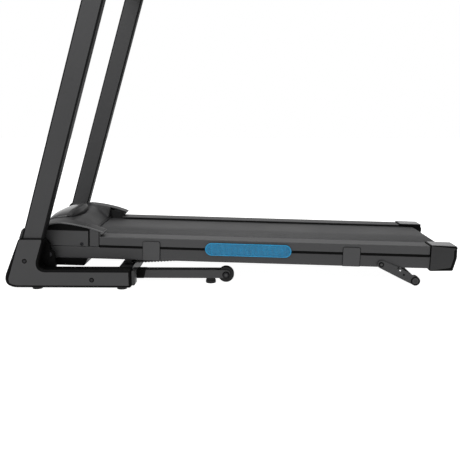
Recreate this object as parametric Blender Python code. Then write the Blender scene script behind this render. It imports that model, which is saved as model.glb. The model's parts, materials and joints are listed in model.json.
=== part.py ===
"""Folding treadmill: a base with two leaning uprights, and a deck that folds up between them."""

import math

import bmesh
import bpy
from mathutils import Matrix, Vector

# Driving dimensions, in metres and degrees.
# +X is the rear of the deck, -X the motor end, -Y the user's left, +Z up, and the floor is z = 0.
GAP = 0.0003
OVERALL_LENGTH = 1.578
OVERALL_WIDTH = 0.700
FLOOR_CLEARANCE = 0.0103
TOE_X = -OVERALL_LENGTH / 2
TAIL_X = OVERALL_LENGTH / 2

# Base
ARM_WIDTH = 0.036
ARM_BOTTOM = 0.018
ARM_TOP = 0.060
ARM_FRONT = TOE_X + 0.034
ARM_REAR = TOE_X + 0.427
CROSS_TUBE_DEPTH = 0.050
FRONT_TUBE_X = TOE_X + 0.049
FRONT_TUBE_TOP = 0.050
MIDDLE_TUBE_X = TOE_X + 0.379
MIDDLE_TUBE_TOP = 0.064
INNER_TUBE_OUTER_Y = 0.259
INNER_TUBE_WIDTH = 0.043
INNER_TUBE_BOTTOM = 0.0215
INNER_TUBE_HEIGHT = 0.029
WHEEL_X = TOE_X + 0.761
WHEEL_RADIUS = 0.0285
WHEEL_WIDTH = 0.026
WHEEL_GROUND_GAP = 0.0045
FORK_CHEEK = 0.006
WHEEL_BOLT_RADIUS = 0.005
RUBBER_FOOT_X = TOE_X + 0.706
RUBBER_FOOT_RADIUS = 0.018
LEVELLER_RADIUS = 0.0175
LEVELLER_FRONT_X = TOE_X + 0.104
LEVELLER_REAR_X = TOE_X + 0.400
BOOT_WALL = 0.008
BOOT_HEEL_X = TOE_X + 0.113
BOOT_HEEL_TOP_X = TOE_X + 0.1385
BOOT_INNER_Y = OVERALL_WIDTH / 2 - 0.0495
BOOT_TOP = 0.1805
BOOT_ARM_TOP = 0.0722
BOOT_REAR = TOE_X + 0.4365
BOOT_TOE_RADIUS = 0.040
BOOT_TOE_ANGLE = 66.5
END_CAP_LENGTH = 0.012

# Uprights
UPRIGHT_WIDTH = 0.042
UPRIGHT_DEPTH = 0.0725
UPRIGHT_LEAN = 16.7
UPRIGHT_FOOT_X = TOE_X + 0.0635
UPRIGHT_TOP = 1.165
TUBE_WALL = 0.002

# Deck, in the deck's own frame: x along it, z square to it, and the fold pivot at zero
PIVOT_X = TOE_X + 0.144
PIVOT_Z = 0.115
DECK_SLOPE = 1.55
FOLD_ANGLE = 65.0
PIVOT_BOLT_RADIUS = 0.008
DECK_HALF_WIDTH = 0.267
SIDE_TUBE_WIDTH = 0.035
SIDE_TUBE_BOTTOM = -0.0182
SIDE_TUBE_TOP = 0.0255
SIDE_TUBE_FRONT = -0.025
REAR_ROLLER_X = OVERALL_LENGTH - 0.193
SEAM_HEIGHT = 0.0057
RAIL_TOP = 0.0621
RAIL_THICKNESS = 0.0045
RAIL_WIDTH = 0.0744
RAIL_FRONT = 0.168
RAIL_REAR = REAR_ROLLER_X - 0.050
CROSS_TUBE_LENGTH = 0.040
BELT_TOP = 0.0535
BELT_THICKNESS = 0.002
ROLLER_RADIUS = 0.0215
BELT_TO_TUBE = 0.005
CROSS_TUBE_HEIGHT = BELT_TOP - 2 * (BELT_THICKNESS + ROLLER_RADIUS) - BELT_TO_TUBE - SIDE_TUBE_BOTTOM
CROSS_TUBE_PLACES = (0.0, 0.640, REAR_ROLLER_X - 0.145)
BELT_HALF_WIDTH = 0.205
BOARD_THICKNESS = 0.018
BOARD_HALF_WIDTH = 0.250
BOARD_FRONT = 0.170
BOARD_REAR = REAR_ROLLER_X - 0.065
CUSHION_WIDTH = 0.024
FRONT_ROLLER_X = 0.088
SHAFT_RADIUS = 0.0075
CLIP_WIDTH = 0.060
CLIP_TOP = 0.0505
CLIP_THICKNESS = 0.0035
CLIP_PLACES = (0.353, REAR_ROLLER_X - 0.325)
DAMPER_COVER_X = CLIP_PLACES[0] + (CLIP_PLACES[1] - CLIP_PLACES[0]) * 0.484
DAMPER_COVER_LENGTH = 0.304
DAMPER_COVER_HEIGHT = 0.045
DAMPER_COVER_THICKNESS = 0.006
DAMPER_COVER_Z = 0.0295
CAP_OVERHANG = 0.004
CAP_TOP = 0.0655
CAP_BOTTOM = -0.022
CAP_NOSE_ROUNDING = 0.0017

# Motor end
MOTOR_X = 0.0
MOTOR_Z = 0.045
MOTOR_RADIUS = 0.038
MOTOR_LENGTH = 0.200
FLYWHEEL_RADIUS = 0.036
FLYWHEEL_WIDTH = 0.018
MOTOR_PULLEY_RADIUS = 0.012
ROLLER_PULLEY_RADIUS = 0.026
DRIVE_BELT_WIDTH = 0.012
DRIVE_BELT_THICKNESS = 0.002
DRIVE_BELT_Y = -0.218
HOOD_THICKNESS = 0.003
HOOD_FRONT = -0.072
HOOD_SLIT_X = 0.118
HOOD_TIP_X = 0.184
HOOD_INNER_WING_Y = 0.208
HOOD_BOSS_HALF_WIDTH = 0.134
HOOD_CORNER_SWEEP = 0.040
PAN_FRONT = -0.028
PAN_REAR = 0.126
PAN_BOTTOM = -0.045
PAN_WALL = 0.0025

# Incline foot
FOOT_PIVOT_X = TAIL_X - 0.269
FOOT_PIVOT_Z = 0.076
FOOT_ROLLER_X = TAIL_X - 0.1463
FOOT_ROLLER_RADIUS = 0.0167
FOOT_ROLLER_WIDTH = 0.022
FOOT_ARM_THICKNESS = 0.005
FOOT_ARM_HALF_HEIGHT = 0.0165
FOOT_TUBE_RADIUS = 0.009

# Gas strut
STRUT_Y = -0.190
STRUT_BASE_X = TOE_X + 0.404
STRUT_BASE_Z = 0.076
STRUT_DECK_X = 0.600
STRUT_DECK_Z = -0.014
STRUT_CYLINDER_RADIUS = 0.010
STRUT_CYLINDER_LENGTH = 0.300
STRUT_ROD_RADIUS = 0.004
STRUT_PIN_RADIUS = 0.004

# Console and handrails
CONSOLE_BOTTOM = 1.105
CONSOLE_TOP = 1.300
PANEL_LOW = (0.095, 1.125)
PANEL_HIGH = (0.008, 1.275)
DISPLAY_LOW = -0.070
KEY_ROW_X = 0.048
SAFETY_KEY_X = 0.040
SAFETY_KEY_Y = 0.170
SAFETY_KEY_RADIUS = 0.013
POCKET_TOP = 0.02
DISPLAY_WIDTH = 0.220
DISPLAY_HEIGHT = 0.085
KEY_PITCH = 0.060
KEY_WIDTH = 0.042
KEY_DEPTH = 0.022
KEY_TRAVEL = 0.0015
HANDRAIL_RADIUS = 0.016
HANDRAIL_LENGTH = 0.270
HANDRAIL_Z = 1.125

SIDES = {"left": -1, "right": 1}
HALF_WIDTH = OVERALL_WIDTH / 2
SLOPE = math.radians(DECK_SLOPE)
LEAN = math.tan(math.radians(UPRIGHT_LEAN))
CONSOLE_X = UPRIGHT_FOOT_X + (CONSOLE_BOTTOM - ARM_TOP) * LEAN
ROLLER_Z = BELT_TOP - BELT_THICKNESS - ROLLER_RADIUS - GAP
BELT_LOOP_RADIUS = ROLLER_RADIUS + GAP
UPRIGHT_OUTER_Y = HALF_WIDTH - BOOT_WALL - GAP * 2
UPRIGHT_Y = UPRIGHT_OUTER_Y - UPRIGHT_WIDTH / 2
CONSOLE_HALF_WIDTH = UPRIGHT_OUTER_Y - UPRIGHT_WIDTH - GAP
SIDE_TUBE_OUTER_Y = DECK_HALF_WIDTH - GAP
SIDE_TUBE_INNER_Y = SIDE_TUBE_OUTER_Y - SIDE_TUBE_WIDTH
RAIL_BOTTOM = SIDE_TUBE_TOP + SEAM_HEIGHT

FINISHES = {
    "powder_coat": ((0.070, 0.070, 0.072), 0.45, 0.0),
    "boot_plastic": ((0.060, 0.060, 0.062), 0.55, 0.0),
    "hood_plastic": ((0.075, 0.075, 0.078), 0.30, 0.0),
    "rail_plastic": ((0.085, 0.085, 0.088), 0.50, 0.0),
    "cap_plastic": ((0.030, 0.030, 0.032), 0.50, 0.0),
    "damper_blue": ((0.030, 0.270, 0.480), 0.30, 0.0),
    "belt_rubber": ((0.060, 0.060, 0.062), 0.80, 0.0),
    "rubber": ((0.020, 0.020, 0.020), 0.80, 0.0),
    "steel": ((0.550, 0.550, 0.560), 0.35, 1.0),
    "board": ((0.350, 0.240, 0.150), 0.60, 0.0),
    "screen": ((0.010, 0.012, 0.015), 0.10, 0.0),
    "key_red": ((0.500, 0.030, 0.030), 0.50, 0.0),
    "key_grey": ((0.250, 0.250, 0.260), 0.50, 0.0),
}


def clear_scene():
    """Remove whatever the file opened with."""
    for obj in list(bpy.data.objects):
        bpy.data.objects.remove(obj, do_unlink=True)


def finish_material(name):
    """One Principled material for each finish, made once."""
    found = bpy.data.materials.get(name)
    if found:
        return found
    colour, rough, metal = FINISHES[name]
    material = bpy.data.materials.new(name)
    material.use_nodes = True
    shader = material.node_tree.nodes["Principled BSDF"]
    shader.inputs["Base Color"].default_value = (*colour, 1.0)
    shader.inputs["Roughness"].default_value = rough
    shader.inputs["Metallic"].default_value = metal
    material.diffuse_color = (*colour, 1.0)
    return material


def empty(name, location, rotation=(0, 0, 0)):
    """A frame that other pieces hang on."""
    frame = bpy.data.objects.new(name, None)
    frame.location = location
    frame.rotation_euler = rotation
    bpy.context.scene.collection.objects.link(frame)
    return frame


def solid(name, shape, finish, parent=None, origin=(0, 0, 0)):
    """Turn a bmesh into a named object whose origin is at the given point of its parent's frame."""
    bmesh.ops.recalc_face_normals(shape, faces=shape.faces)
    bmesh.ops.translate(shape, verts=shape.verts, vec=-Vector(origin))
    mesh = bpy.data.meshes.new(name)
    shape.to_mesh(mesh)
    shape.free()
    mesh.shade_smooth()
    mesh.set_sharp_from_angle(angle=math.radians(30))
    obj = bpy.data.objects.new(name, mesh)
    obj.location = origin
    obj.parent = parent
    obj.data.materials.append(finish_material(finish))
    bpy.context.scene.collection.objects.link(obj)
    return obj


def tool(target, shape, operation):
    """Join or cut a piece with a hidden helper that shares its parent."""
    count = len(target.modifiers)
    helper = solid(f"{target.name}_tool_{count}", shape, "steel", target.parent)
    helper.hide_render = True
    helper.display_type = "WIRE"
    step = target.modifiers.new(f"{operation.lower()}_{count}", "BOOLEAN")
    step.operation = operation
    step.solver = "EXACT"
    step.object = helper


def add(target, shape):
    tool(target, shape, "UNION")


def cut(target, shape):
    tool(target, shape, "DIFFERENCE")


def soften(target, width, segments=2):
    """Round a casing's sharp edges."""
    step = target.modifiers.new("edges", "BEVEL")
    step.width = width
    step.segments = segments
    step.limit_method = "ANGLE"
    step.angle_limit = math.radians(40)


def rounded(corners, steps=4):
    """An outline from (u, v, radius) corners, each turned into an arc."""
    outline = []
    for index, (u, v, radius) in enumerate(corners):
        corner = Vector((u, v))
        before = Vector(corners[index - 1][:2]) - corner
        after = Vector(corners[(index + 1) % len(corners)][:2]) - corner
        if radius <= 0:
            outline.append(corner)
            continue
        half = before.angle(after) / 2
        middle = (before.normalized() + after.normalized()).normalized()
        centre = corner + middle * radius / math.sin(half)
        start = corner + before.normalized() * radius / math.tan(half) - centre
        end = corner + after.normalized() * radius / math.tan(half) - centre
        turn = start.angle_signed(end)
        for step in range(steps + 1):
            spin = Matrix.Rotation(-turn * step / steps, 2)
            outline.append(centre + spin @ start)
    return outline


def rectangle(u0, u1, v0, v1, radius=0.0, steps=2):
    """A rectangle's outline, with round corners when a radius is given."""
    corners = [(u0, v0, radius), (u1, v0, radius), (u1, v1, radius), (u0, v1, radius)]
    return rounded(corners, steps)


def circle(u, v, radius, count=24):
    """A regular outline round a centre."""
    turns = [2 * math.pi * index / count for index in range(count)]
    return [Vector((u + radius * math.cos(turn), v + radius * math.sin(turn))) for turn in turns]


def on_axis(axis, point, along):
    """A point of an outline, placed along X, Y or Z."""
    u, v = point
    places = {"X": (along, u, v), "Y": (u, along, v), "Z": (u, v, along)}
    return places[axis]


def prism(outline, start, end, axis, hole=None):
    """Extrude an outline along an axis; a hole outline has as many points as the outer one."""
    shape = bmesh.new()
    loops = []
    for ring in [outline] + ([hole] if hole else []):
        for along in (start, end):
            loops.append([shape.verts.new(on_axis(axis, point, along)) for point in ring])
    count = len(outline)
    for index in range(count):
        after = (index + 1) % count
        shape.faces.new((loops[0][index], loops[0][after], loops[1][after], loops[1][index]))
        if hole:
            shape.faces.new((loops[2][index], loops[2][after], loops[3][after], loops[3][index]))
            for near, far in ((0, 2), (1, 3)):
                below, above = loops[near], loops[far]
                shape.faces.new((below[index], below[after], above[after], above[index]))
    if not hole:
        shape.faces.new(loops[0])
        shape.faces.new(loops[1])
    return shape


def block(x0, x1, y0, y1, z0, z1):
    """A plain box between two corners."""
    return prism(rectangle(x0, x1, y0, y1), z0, z1, "Z")


def between(side, near, far):
    """The Y range of a piece that lies from near to far on one side."""
    return sorted((side * near, side * far))


def shear(shape, slope, from_z):
    """Lean a piece rearwards without turning its level ends."""
    for vert in shape.verts:
        vert.co.x += slope * (vert.co.z - from_z)
    return shape


def make_base_frame():
    """The welded base: cross tubes, side arms, inner tubes, pivot ears and the strut's lug."""
    reach = UPRIGHT_OUTER_Y - 0.001
    low = ARM_BOTTOM + 0.0005
    front = rectangle(FRONT_TUBE_X, FRONT_TUBE_X + CROSS_TUBE_DEPTH, low, FRONT_TUBE_TOP, 0.004)
    frame = solid(
        "base_frame",
        prism(front, -reach, reach, "Y"),
        "powder_coat",
    )
    middle = rectangle(MIDDLE_TUBE_X, MIDDLE_TUBE_X + CROSS_TUBE_DEPTH, low, MIDDLE_TUBE_TOP, 0.004)
    add(frame, prism(middle, -reach, reach, "Y"))
    for side in SIDES.values():
        arm = between(side, UPRIGHT_OUTER_Y - ARM_WIDTH, UPRIGHT_OUTER_Y)
        add(frame, block(ARM_FRONT, ARM_REAR, *arm, ARM_BOTTOM, ARM_TOP))
        add(frame, make_inner_tube(side))
        ear = [
            (PIVOT_X - 0.026, ARM_BOTTOM + 0.002, 0),
            (PIVOT_X + 0.022, ARM_BOTTOM + 0.002, 0),
            (PIVOT_X + 0.016, PIVOT_Z + 0.016, 0.013),
            (PIVOT_X - 0.020, PIVOT_Z + 0.016, 0.013),
        ]
        ear_y = between(side, UPRIGHT_Y - UPRIGHT_WIDTH / 2 - 0.010, UPRIGHT_Y - UPRIGHT_WIDTH / 2 - 0.0005)
        add(frame, prism(rounded(ear), *ear_y, "Y"))
        root = between(side, UPRIGHT_Y - UPRIGHT_WIDTH / 2 - 0.008, UPRIGHT_OUTER_Y - ARM_WIDTH + 0.004)
        add(frame, block(PIVOT_X - 0.025, PIVOT_X + 0.021, *root, ARM_BOTTOM + 0.003, ARM_TOP - 0.004))
        bolt_y = between(side, DECK_HALF_WIDTH, UPRIGHT_Y)
        cut(frame, prism(circle(PIVOT_X, PIVOT_Z, PIVOT_BOLT_RADIUS + GAP), *bolt_y, "Y"))
    lug = [
        (STRUT_BASE_X - 0.014, MIDDLE_TUBE_TOP - 0.006, 0),
        (STRUT_BASE_X + 0.014, MIDDLE_TUBE_TOP - 0.006, 0),
        (STRUT_BASE_X + 0.012, STRUT_BASE_Z + 0.012, 0.010),
        (STRUT_BASE_X - 0.012, STRUT_BASE_Z + 0.012, 0.010),
    ]
    for offset in (-0.017, 0.013):
        add(frame, prism(rounded(lug, 3), STRUT_Y + offset, STRUT_Y + offset + 0.004, "Y"))


def make_inner_tube(side):
    """A low tube that runs back from the middle cross tube and ends in a round-nosed fork for its wheel."""
    top = INNER_TUBE_BOTTOM + INNER_TUBE_HEIGHT
    nose = INNER_TUBE_HEIGHT / 2
    start = MIDDLE_TUBE_X + CROSS_TUBE_DEPTH / 2
    corners = [
        (start, INNER_TUBE_BOTTOM, 0),
        (WHEEL_X + nose, INNER_TUBE_BOTTOM, nose * 0.98),
        (WHEEL_X + nose, top, nose * 0.98),
        (start, top, 0),
    ]
    span = between(side, INNER_TUBE_OUTER_Y - INNER_TUBE_WIDTH, INNER_TUBE_OUTER_Y)
    shape = prism(rounded(corners, 6), *span, "Y")
    return shape


def fit_wheel_forks():
    """Slots in the inner tubes' ends, and the bolts that the wheels turn on."""
    frame = bpy.data.objects["base_frame"]
    for side in SIDES.values():
        inner_y = INNER_TUBE_OUTER_Y - INNER_TUBE_WIDTH
        slot = between(side, inner_y + FORK_CHEEK, INNER_TUBE_OUTER_Y - FORK_CHEEK)
        cut(frame, block(WHEEL_X - WHEEL_RADIUS - 0.004, WHEEL_X + 0.06, *slot, 0.010, 0.090))
        axle_z = WHEEL_GROUND_GAP + WHEEL_RADIUS
        shank_y = between(side, INNER_TUBE_OUTER_Y - INNER_TUBE_WIDTH - 0.003, INNER_TUBE_OUTER_Y + 0.001)
        add(frame, prism(circle(WHEEL_X, axle_z, WHEEL_BOLT_RADIUS, 32), *shank_y, "Y"))
        head_y = between(side, INNER_TUBE_OUTER_Y - 0.001, INNER_TUBE_OUTER_Y + 0.005)
        add(frame, prism(circle(WHEEL_X, axle_z, 0.009, 16), *head_y, "Y"))


def make_wheels_and_feet():
    """Transport wheels on their bolts, rubber feet, and levelling feet under the boots."""
    axle_z = WHEEL_GROUND_GAP + WHEEL_RADIUS
    for word, side in SIDES.items():
        wheel_y = side * (INNER_TUBE_OUTER_Y - INNER_TUBE_WIDTH / 2)
        rim = prism(
            circle(WHEEL_X, axle_z, WHEEL_RADIUS, 32),
            wheel_y - WHEEL_WIDTH / 2,
            wheel_y + WHEEL_WIDTH / 2,
            "Y",
            hole=circle(WHEEL_X, axle_z, WHEEL_BOLT_RADIUS + GAP, 32),
        )
        solid(f"transport_wheel_{word}", rim, "rubber", origin=(WHEEL_X, wheel_y, axle_z))
        foot_y = side * (INNER_TUBE_OUTER_Y - INNER_TUBE_WIDTH / 2)
        foot_top = INNER_TUBE_BOTTOM - GAP
        foot = prism(circle(RUBBER_FOOT_X, foot_y, RUBBER_FOOT_RADIUS), 0.0, foot_top, "Z")
        soften(solid(f"rubber_foot_{word}", foot, "rubber"), 0.003)
        for place, x in (("front", LEVELLER_FRONT_X), ("rear", LEVELLER_REAR_X)):
            stem_y = side * (UPRIGHT_OUTER_Y - ARM_WIDTH / 2)
            pad = solid(
                f"levelling_foot_{place}_{word}",
                prism(circle(x, stem_y, LEVELLER_RADIUS), 0.0, FLOOR_CLEARANCE - GAP, "Z"),
                "rubber",
                origin=(x, stem_y, 0),
            )
            add(pad, prism(circle(x, stem_y, 0.006, 12), 0.005, ARM_BOTTOM - GAP, "Z"))


def boot_outline(inset, bottom):
    """The side view of a foot cover: a leaning toe, a fillet behind the upright and a long low arm."""
    angle = math.radians(BOOT_TOE_ANGLE)
    radius = BOOT_TOE_RADIUS - inset
    toe_x = TOE_X + BOOT_TOE_RADIUS - radius / math.tan(angle / 2)
    top = BOOT_TOP - inset
    shoulder_x = toe_x + (top - bottom) / math.tan(angle)
    return [
        (toe_x, bottom, radius),
        (BOOT_REAR - inset, bottom, 0.010),
        (BOOT_REAR - inset, BOOT_ARM_TOP - inset, 0.006),
        (BOOT_HEEL_X - inset, BOOT_ARM_TOP - inset, 0.018),
        (BOOT_HEEL_TOP_X - inset, top, 0.003),
        (shoulder_x, top, 0.016),
    ]


def make_boots():
    """Foot covers over the arms and the uprights' feet, each with a collar and a rear end cap."""
    for word, side in SIDES.items():
        span = between(side, BOOT_INNER_Y, HALF_WIDTH)
        cover = prism(rounded(boot_outline(0, FLOOR_CLEARANCE), 5), *span, "Y")
        boot = solid(f"boot_{word}", cover, "boot_plastic")
        room = between(side, BOOT_INNER_Y - 0.01, UPRIGHT_OUTER_Y + GAP)
        cut(boot, prism(rounded(boot_outline(BOOT_WALL * 0.5, ARM_BOTTOM - 0.004), 5), *room, "Y"))
        half = UPRIGHT_DEPTH / 2 + GAP * 2
        hole = block(UPRIGHT_FOOT_X - half, UPRIGHT_FOOT_X + half, *room, ARM_TOP, BOOT_TOP + 0.03)
        cut(boot, shear(hole, LEAN, ARM_TOP))
        for x in (LEVELLER_FRONT_X, LEVELLER_REAR_X):
            stem_y = side * (UPRIGHT_OUTER_Y - ARM_WIDTH / 2)
            cut(boot, prism(circle(x, stem_y, 0.0075, 12), 0.0, 0.030, "Z"))
        front = UPRIGHT_FOOT_X - half
        collar_y = between(side, BOOT_INNER_Y + 0.002, UPRIGHT_OUTER_Y - 0.003)
        collar = block(front - 0.010, front, *collar_y, BOOT_TOP - 0.004, BOOT_TOP + 0.034)
        add(boot, shear(collar, LEAN, ARM_TOP))
        cap_y = between(side, BOOT_INNER_Y + 0.003, HALF_WIDTH - 0.004)
        cap = rectangle(BOOT_REAR + GAP, BOOT_REAR + END_CAP_LENGTH, 0.016, BOOT_ARM_TOP - 0.006, 0.005)
        soften(solid(f"boot_end_cap_{word}", prism(cap, *cap_y, "Y"), "cap_plastic"), 0.003)
        make_upright(word, side)


def make_upright(word, side):
    """A leaning hollow rectangular post, open at its foot and closed at its top."""
    half = UPRIGHT_DEPTH / 2
    y0, y1 = UPRIGHT_Y - UPRIGHT_WIDTH / 2, UPRIGHT_Y + UPRIGHT_WIDTH / 2
    span = between(side, y0, y1)
    outer = rectangle(UPRIGHT_FOOT_X - half, UPRIGHT_FOOT_X + half, *span, 0.006, 3)
    wall = TUBE_WALL
    inner = rectangle(
        UPRIGHT_FOOT_X - half + wall, UPRIGHT_FOOT_X + half - wall, span[0] + wall, span[1] - wall, 0.004, 3
    )
    post = shear(prism(outer, ARM_TOP + GAP, UPRIGHT_TOP, "Z"), LEAN, ARM_TOP)
    upright = solid(f"upright_{word}", post, "powder_coat")
    cut(upright, shear(prism(inner, ARM_TOP - 0.01, UPRIGHT_TOP - wall, "Z"), LEAN, ARM_TOP))


def make_pivot_bolts():
    """The two bolts that the deck swings on."""
    for word, side in SIDES.items():
        shank = between(side, SIDE_TUBE_OUTER_Y - TUBE_WALL - 0.006, UPRIGHT_Y - UPRIGHT_WIDTH / 2 - 0.0008)
        bolt = prism(circle(PIVOT_X, PIVOT_Z, PIVOT_BOLT_RADIUS), *shank, "Y")
        solid(f"pivot_bolt_{word}", bolt, "steel", origin=(PIVOT_X, side * DECK_HALF_WIDTH, PIVOT_Z))


def make_deck_frame(deck):
    """Side tubes and the cross tubes between them."""
    rear = REAR_ROLLER_X + 0.025
    for word, side in SIDES.items():
        span = between(side, SIDE_TUBE_INNER_Y, SIDE_TUBE_OUTER_Y)
        wall = TUBE_WALL
        outer = rectangle(*span, SIDE_TUBE_BOTTOM, SIDE_TUBE_TOP, 0.004)
        low, high = SIDE_TUBE_BOTTOM + wall, SIDE_TUBE_TOP - wall
        inner = rectangle(span[0] + wall, span[1] - wall, low, high, 0.002)
        length = prism(outer, SIDE_TUBE_FRONT, rear, "X", hole=inner)
        tube = solid(f"deck_side_tube_{word}", length, "powder_coat", deck)
        hole_y = between(side, SIDE_TUBE_OUTER_Y - TUBE_WALL * 3, DECK_HALF_WIDTH + 0.01)
        cut(tube, prism(circle(0, 0, PIVOT_BOLT_RADIUS + GAP), *hole_y, "Y"))
        foot_x, foot_z = deck_point(FOOT_PIVOT_X, FOOT_PIVOT_Z)
        cut(tube, prism(circle(foot_x, foot_z, WHEEL_BOLT_RADIUS + GAP, 16), *hole_y, "Y"))
    half = SIDE_TUBE_INNER_Y - GAP
    for index, x in enumerate(CROSS_TUBE_PLACES):
        top = SIDE_TUBE_BOTTOM + CROSS_TUBE_HEIGHT
        outer = rectangle(x - CROSS_TUBE_LENGTH / 2, x + CROSS_TUBE_LENGTH / 2, SIDE_TUBE_BOTTOM, top, 0.003)
        inner = rectangle(
            x - CROSS_TUBE_LENGTH / 2 + TUBE_WALL, x + CROSS_TUBE_LENGTH / 2 - TUBE_WALL,
            SIDE_TUBE_BOTTOM + TUBE_WALL, top - TUBE_WALL, 0.0015,
        )
        solid(f"deck_cross_tube_{index + 1}", prism(outer, -half, half, "Y", hole=inner), "powder_coat", deck)


def deck_point(x, z):
    """A world point in the deck's own x and z at rest."""
    dx, dz = x - PIVOT_X, z - PIVOT_Z
    return dx * math.cos(SLOPE) - dz * math.sin(SLOPE), dx * math.sin(SLOPE) + dz * math.cos(SLOPE)


def world_point(x, z):
    """A deck point in the world's x and z at rest."""
    return (
        PIVOT_X + x * math.cos(SLOPE) + z * math.sin(SLOPE),
        PIVOT_Z - x * math.sin(SLOPE) + z * math.cos(SLOPE),
    )


def make_running_surface(deck):
    """Board on its rubber cushions, rollers and the belt round them."""
    board_top = BELT_TOP - BELT_THICKNESS - GAP
    board_bottom = board_top - BOARD_THICKNESS
    board = block(BOARD_FRONT, BOARD_REAR, -BOARD_HALF_WIDTH, BOARD_HALF_WIDTH, board_bottom, board_top)
    solid("running_board", board, "board", deck)
    for word, side in SIDES.items():
        edge = SIDE_TUBE_INNER_Y + 0.003
        strip = block(
            BOARD_FRONT + 0.05,
            BOARD_REAR - 0.05,
            *between(side, edge, min(edge + CUSHION_WIDTH, BOARD_HALF_WIDTH)),
            SIDE_TUBE_TOP + GAP, board_bottom - GAP,
        )
        solid(f"deck_cushion_{word}", strip, "rubber", deck)
    for name, x in (("front_roller", FRONT_ROLLER_X), ("rear_roller", REAR_ROLLER_X)):
        width = BELT_HALF_WIDTH + 0.001
        drum = prism(circle(x, ROLLER_Z, ROLLER_RADIUS, 32), -width, width, "Y")
        roller = solid(name, drum, "steel", deck, origin=(x, 0, ROLLER_Z))
        shaft = SIDE_TUBE_INNER_Y - GAP
        add(roller, prism(circle(x, ROLLER_Z, SHAFT_RADIUS, 16), -shaft, shaft, "Y"))
        if name == "front_roller":
            add(roller, prism(circle(x, ROLLER_Z, ROLLER_PULLEY_RADIUS, 32), *drive_span(), "Y"))
    ends = (FRONT_ROLLER_X, ROLLER_Z, BELT_LOOP_RADIUS, REAR_ROLLER_X, ROLLER_Z, BELT_LOOP_RADIUS)
    outer = loop_outline(*ends, BELT_THICKNESS)
    inner = loop_outline(*ends, 0)
    belt = prism(outer, -BELT_HALF_WIDTH, BELT_HALF_WIDTH, "Y", hole=inner)
    solid("running_belt", belt, "belt_rubber", deck)


def drive_span(extra=0.0):
    """The Y range of the drive belt and its pulleys."""
    half = DRIVE_BELT_WIDTH / 2 + extra
    return DRIVE_BELT_Y - half, DRIVE_BELT_Y + half


def loop_outline(x0, z0, r0, x1, z1, r1, offset, steps=10):
    """The outline of a belt round two rollers, moved outwards by an offset; its flats clear their circles."""
    flat = math.cos(math.pi / 2 / steps)
    r0 = (r0 + offset) / flat
    r1 = (r1 + offset) / flat
    along = math.atan2(z1 - z0, x1 - x0)
    tip = math.acos((r0 - r1) / math.hypot(x1 - x0, z1 - z0))
    points = []
    for centre_x, centre_z, radius, start, end in (
        (x0, z0, r0, along + tip, along + 2 * math.pi - tip),
        (x1, z1, r1, along - tip, along + tip),
    ):
        for step in range(steps + 1):
            turn = start + (end - start) * step / steps
            points.append(Vector((centre_x + radius * math.cos(turn), centre_z + radius * math.sin(turn))))
    return points


def make_rails(deck):
    """Foot rails, the clip plates on their sides and the ribbed damper covers."""
    for word, side in SIDES.items():
        out, low = DECK_HALF_WIDTH, RAIL_BOTTOM
        inner = DECK_HALF_WIDTH - RAIL_WIDTH
        rib = BELT_HALF_WIDTH + 0.004
        under = RAIL_TOP - RAIL_THICKNESS
        corners = [
            (out, low, 0),
            (out, RAIL_TOP, 0.004),
            (inner, RAIL_TOP, 0.0015),
            (inner, under, 0.0015),
            (rib, under, 0),
            (rib, BELT_TOP - BELT_THICKNESS, 0),
            (rib + RAIL_THICKNESS, BELT_TOP - BELT_THICKNESS, 0),
            (rib + RAIL_THICKNESS, under, 0),
            (out - RAIL_THICKNESS, under, 0),
            (out - RAIL_THICKNESS, low, 0),
        ]
        outline = rounded([(side * y, z, radius) for y, z, radius in corners], 3)
        solid(f"foot_rail_{word}", prism(outline, RAIL_FRONT, RAIL_REAR, "X"), "rail_plastic", deck)
        for number, x in enumerate(CLIP_PLACES):
            half = CLIP_WIDTH / 2
            plate = rounded(
                [
                    (x - half, SIDE_TUBE_BOTTOM, 0.002),
                    (x + half, SIDE_TUBE_BOTTOM, 0.002),
                    (x + half - 0.001, CLIP_TOP, 0.008),
                    (x - half + 0.001, CLIP_TOP, 0.008),
                ]
            )
            face = DECK_HALF_WIDTH + GAP
            span = between(side, face, face + CLIP_THICKNESS)
            place = ("front", "rear")[number]
            solid(f"clip_plate_{place}_{word}", prism(plate, *span, "Y"), "powder_coat", deck)
        make_damper_cover(deck, word, side)


def make_damper_cover(deck, word, side):
    """A round-ended strip over the seam between rail and tube."""
    half, tall = DAMPER_COVER_LENGTH / 2, DAMPER_COVER_HEIGHT / 2
    x, z = DAMPER_COVER_X, DAMPER_COVER_Z
    face = DECK_HALF_WIDTH + GAP
    outline = rounded(
        [
            (x - half, z - tall, tall * 0.98), (x + half, z - tall, tall * 0.98),
            (x + half, z + tall, tall * 0.98), (x - half, z + tall, tall * 0.98),
        ],
        8,
    )
    span = between(side, face, face + DAMPER_COVER_THICKNESS)
    soften(solid(f"damper_cover_{word}", prism(outline, *span, "Y"), "damper_blue", deck), 0.0015)


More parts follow.
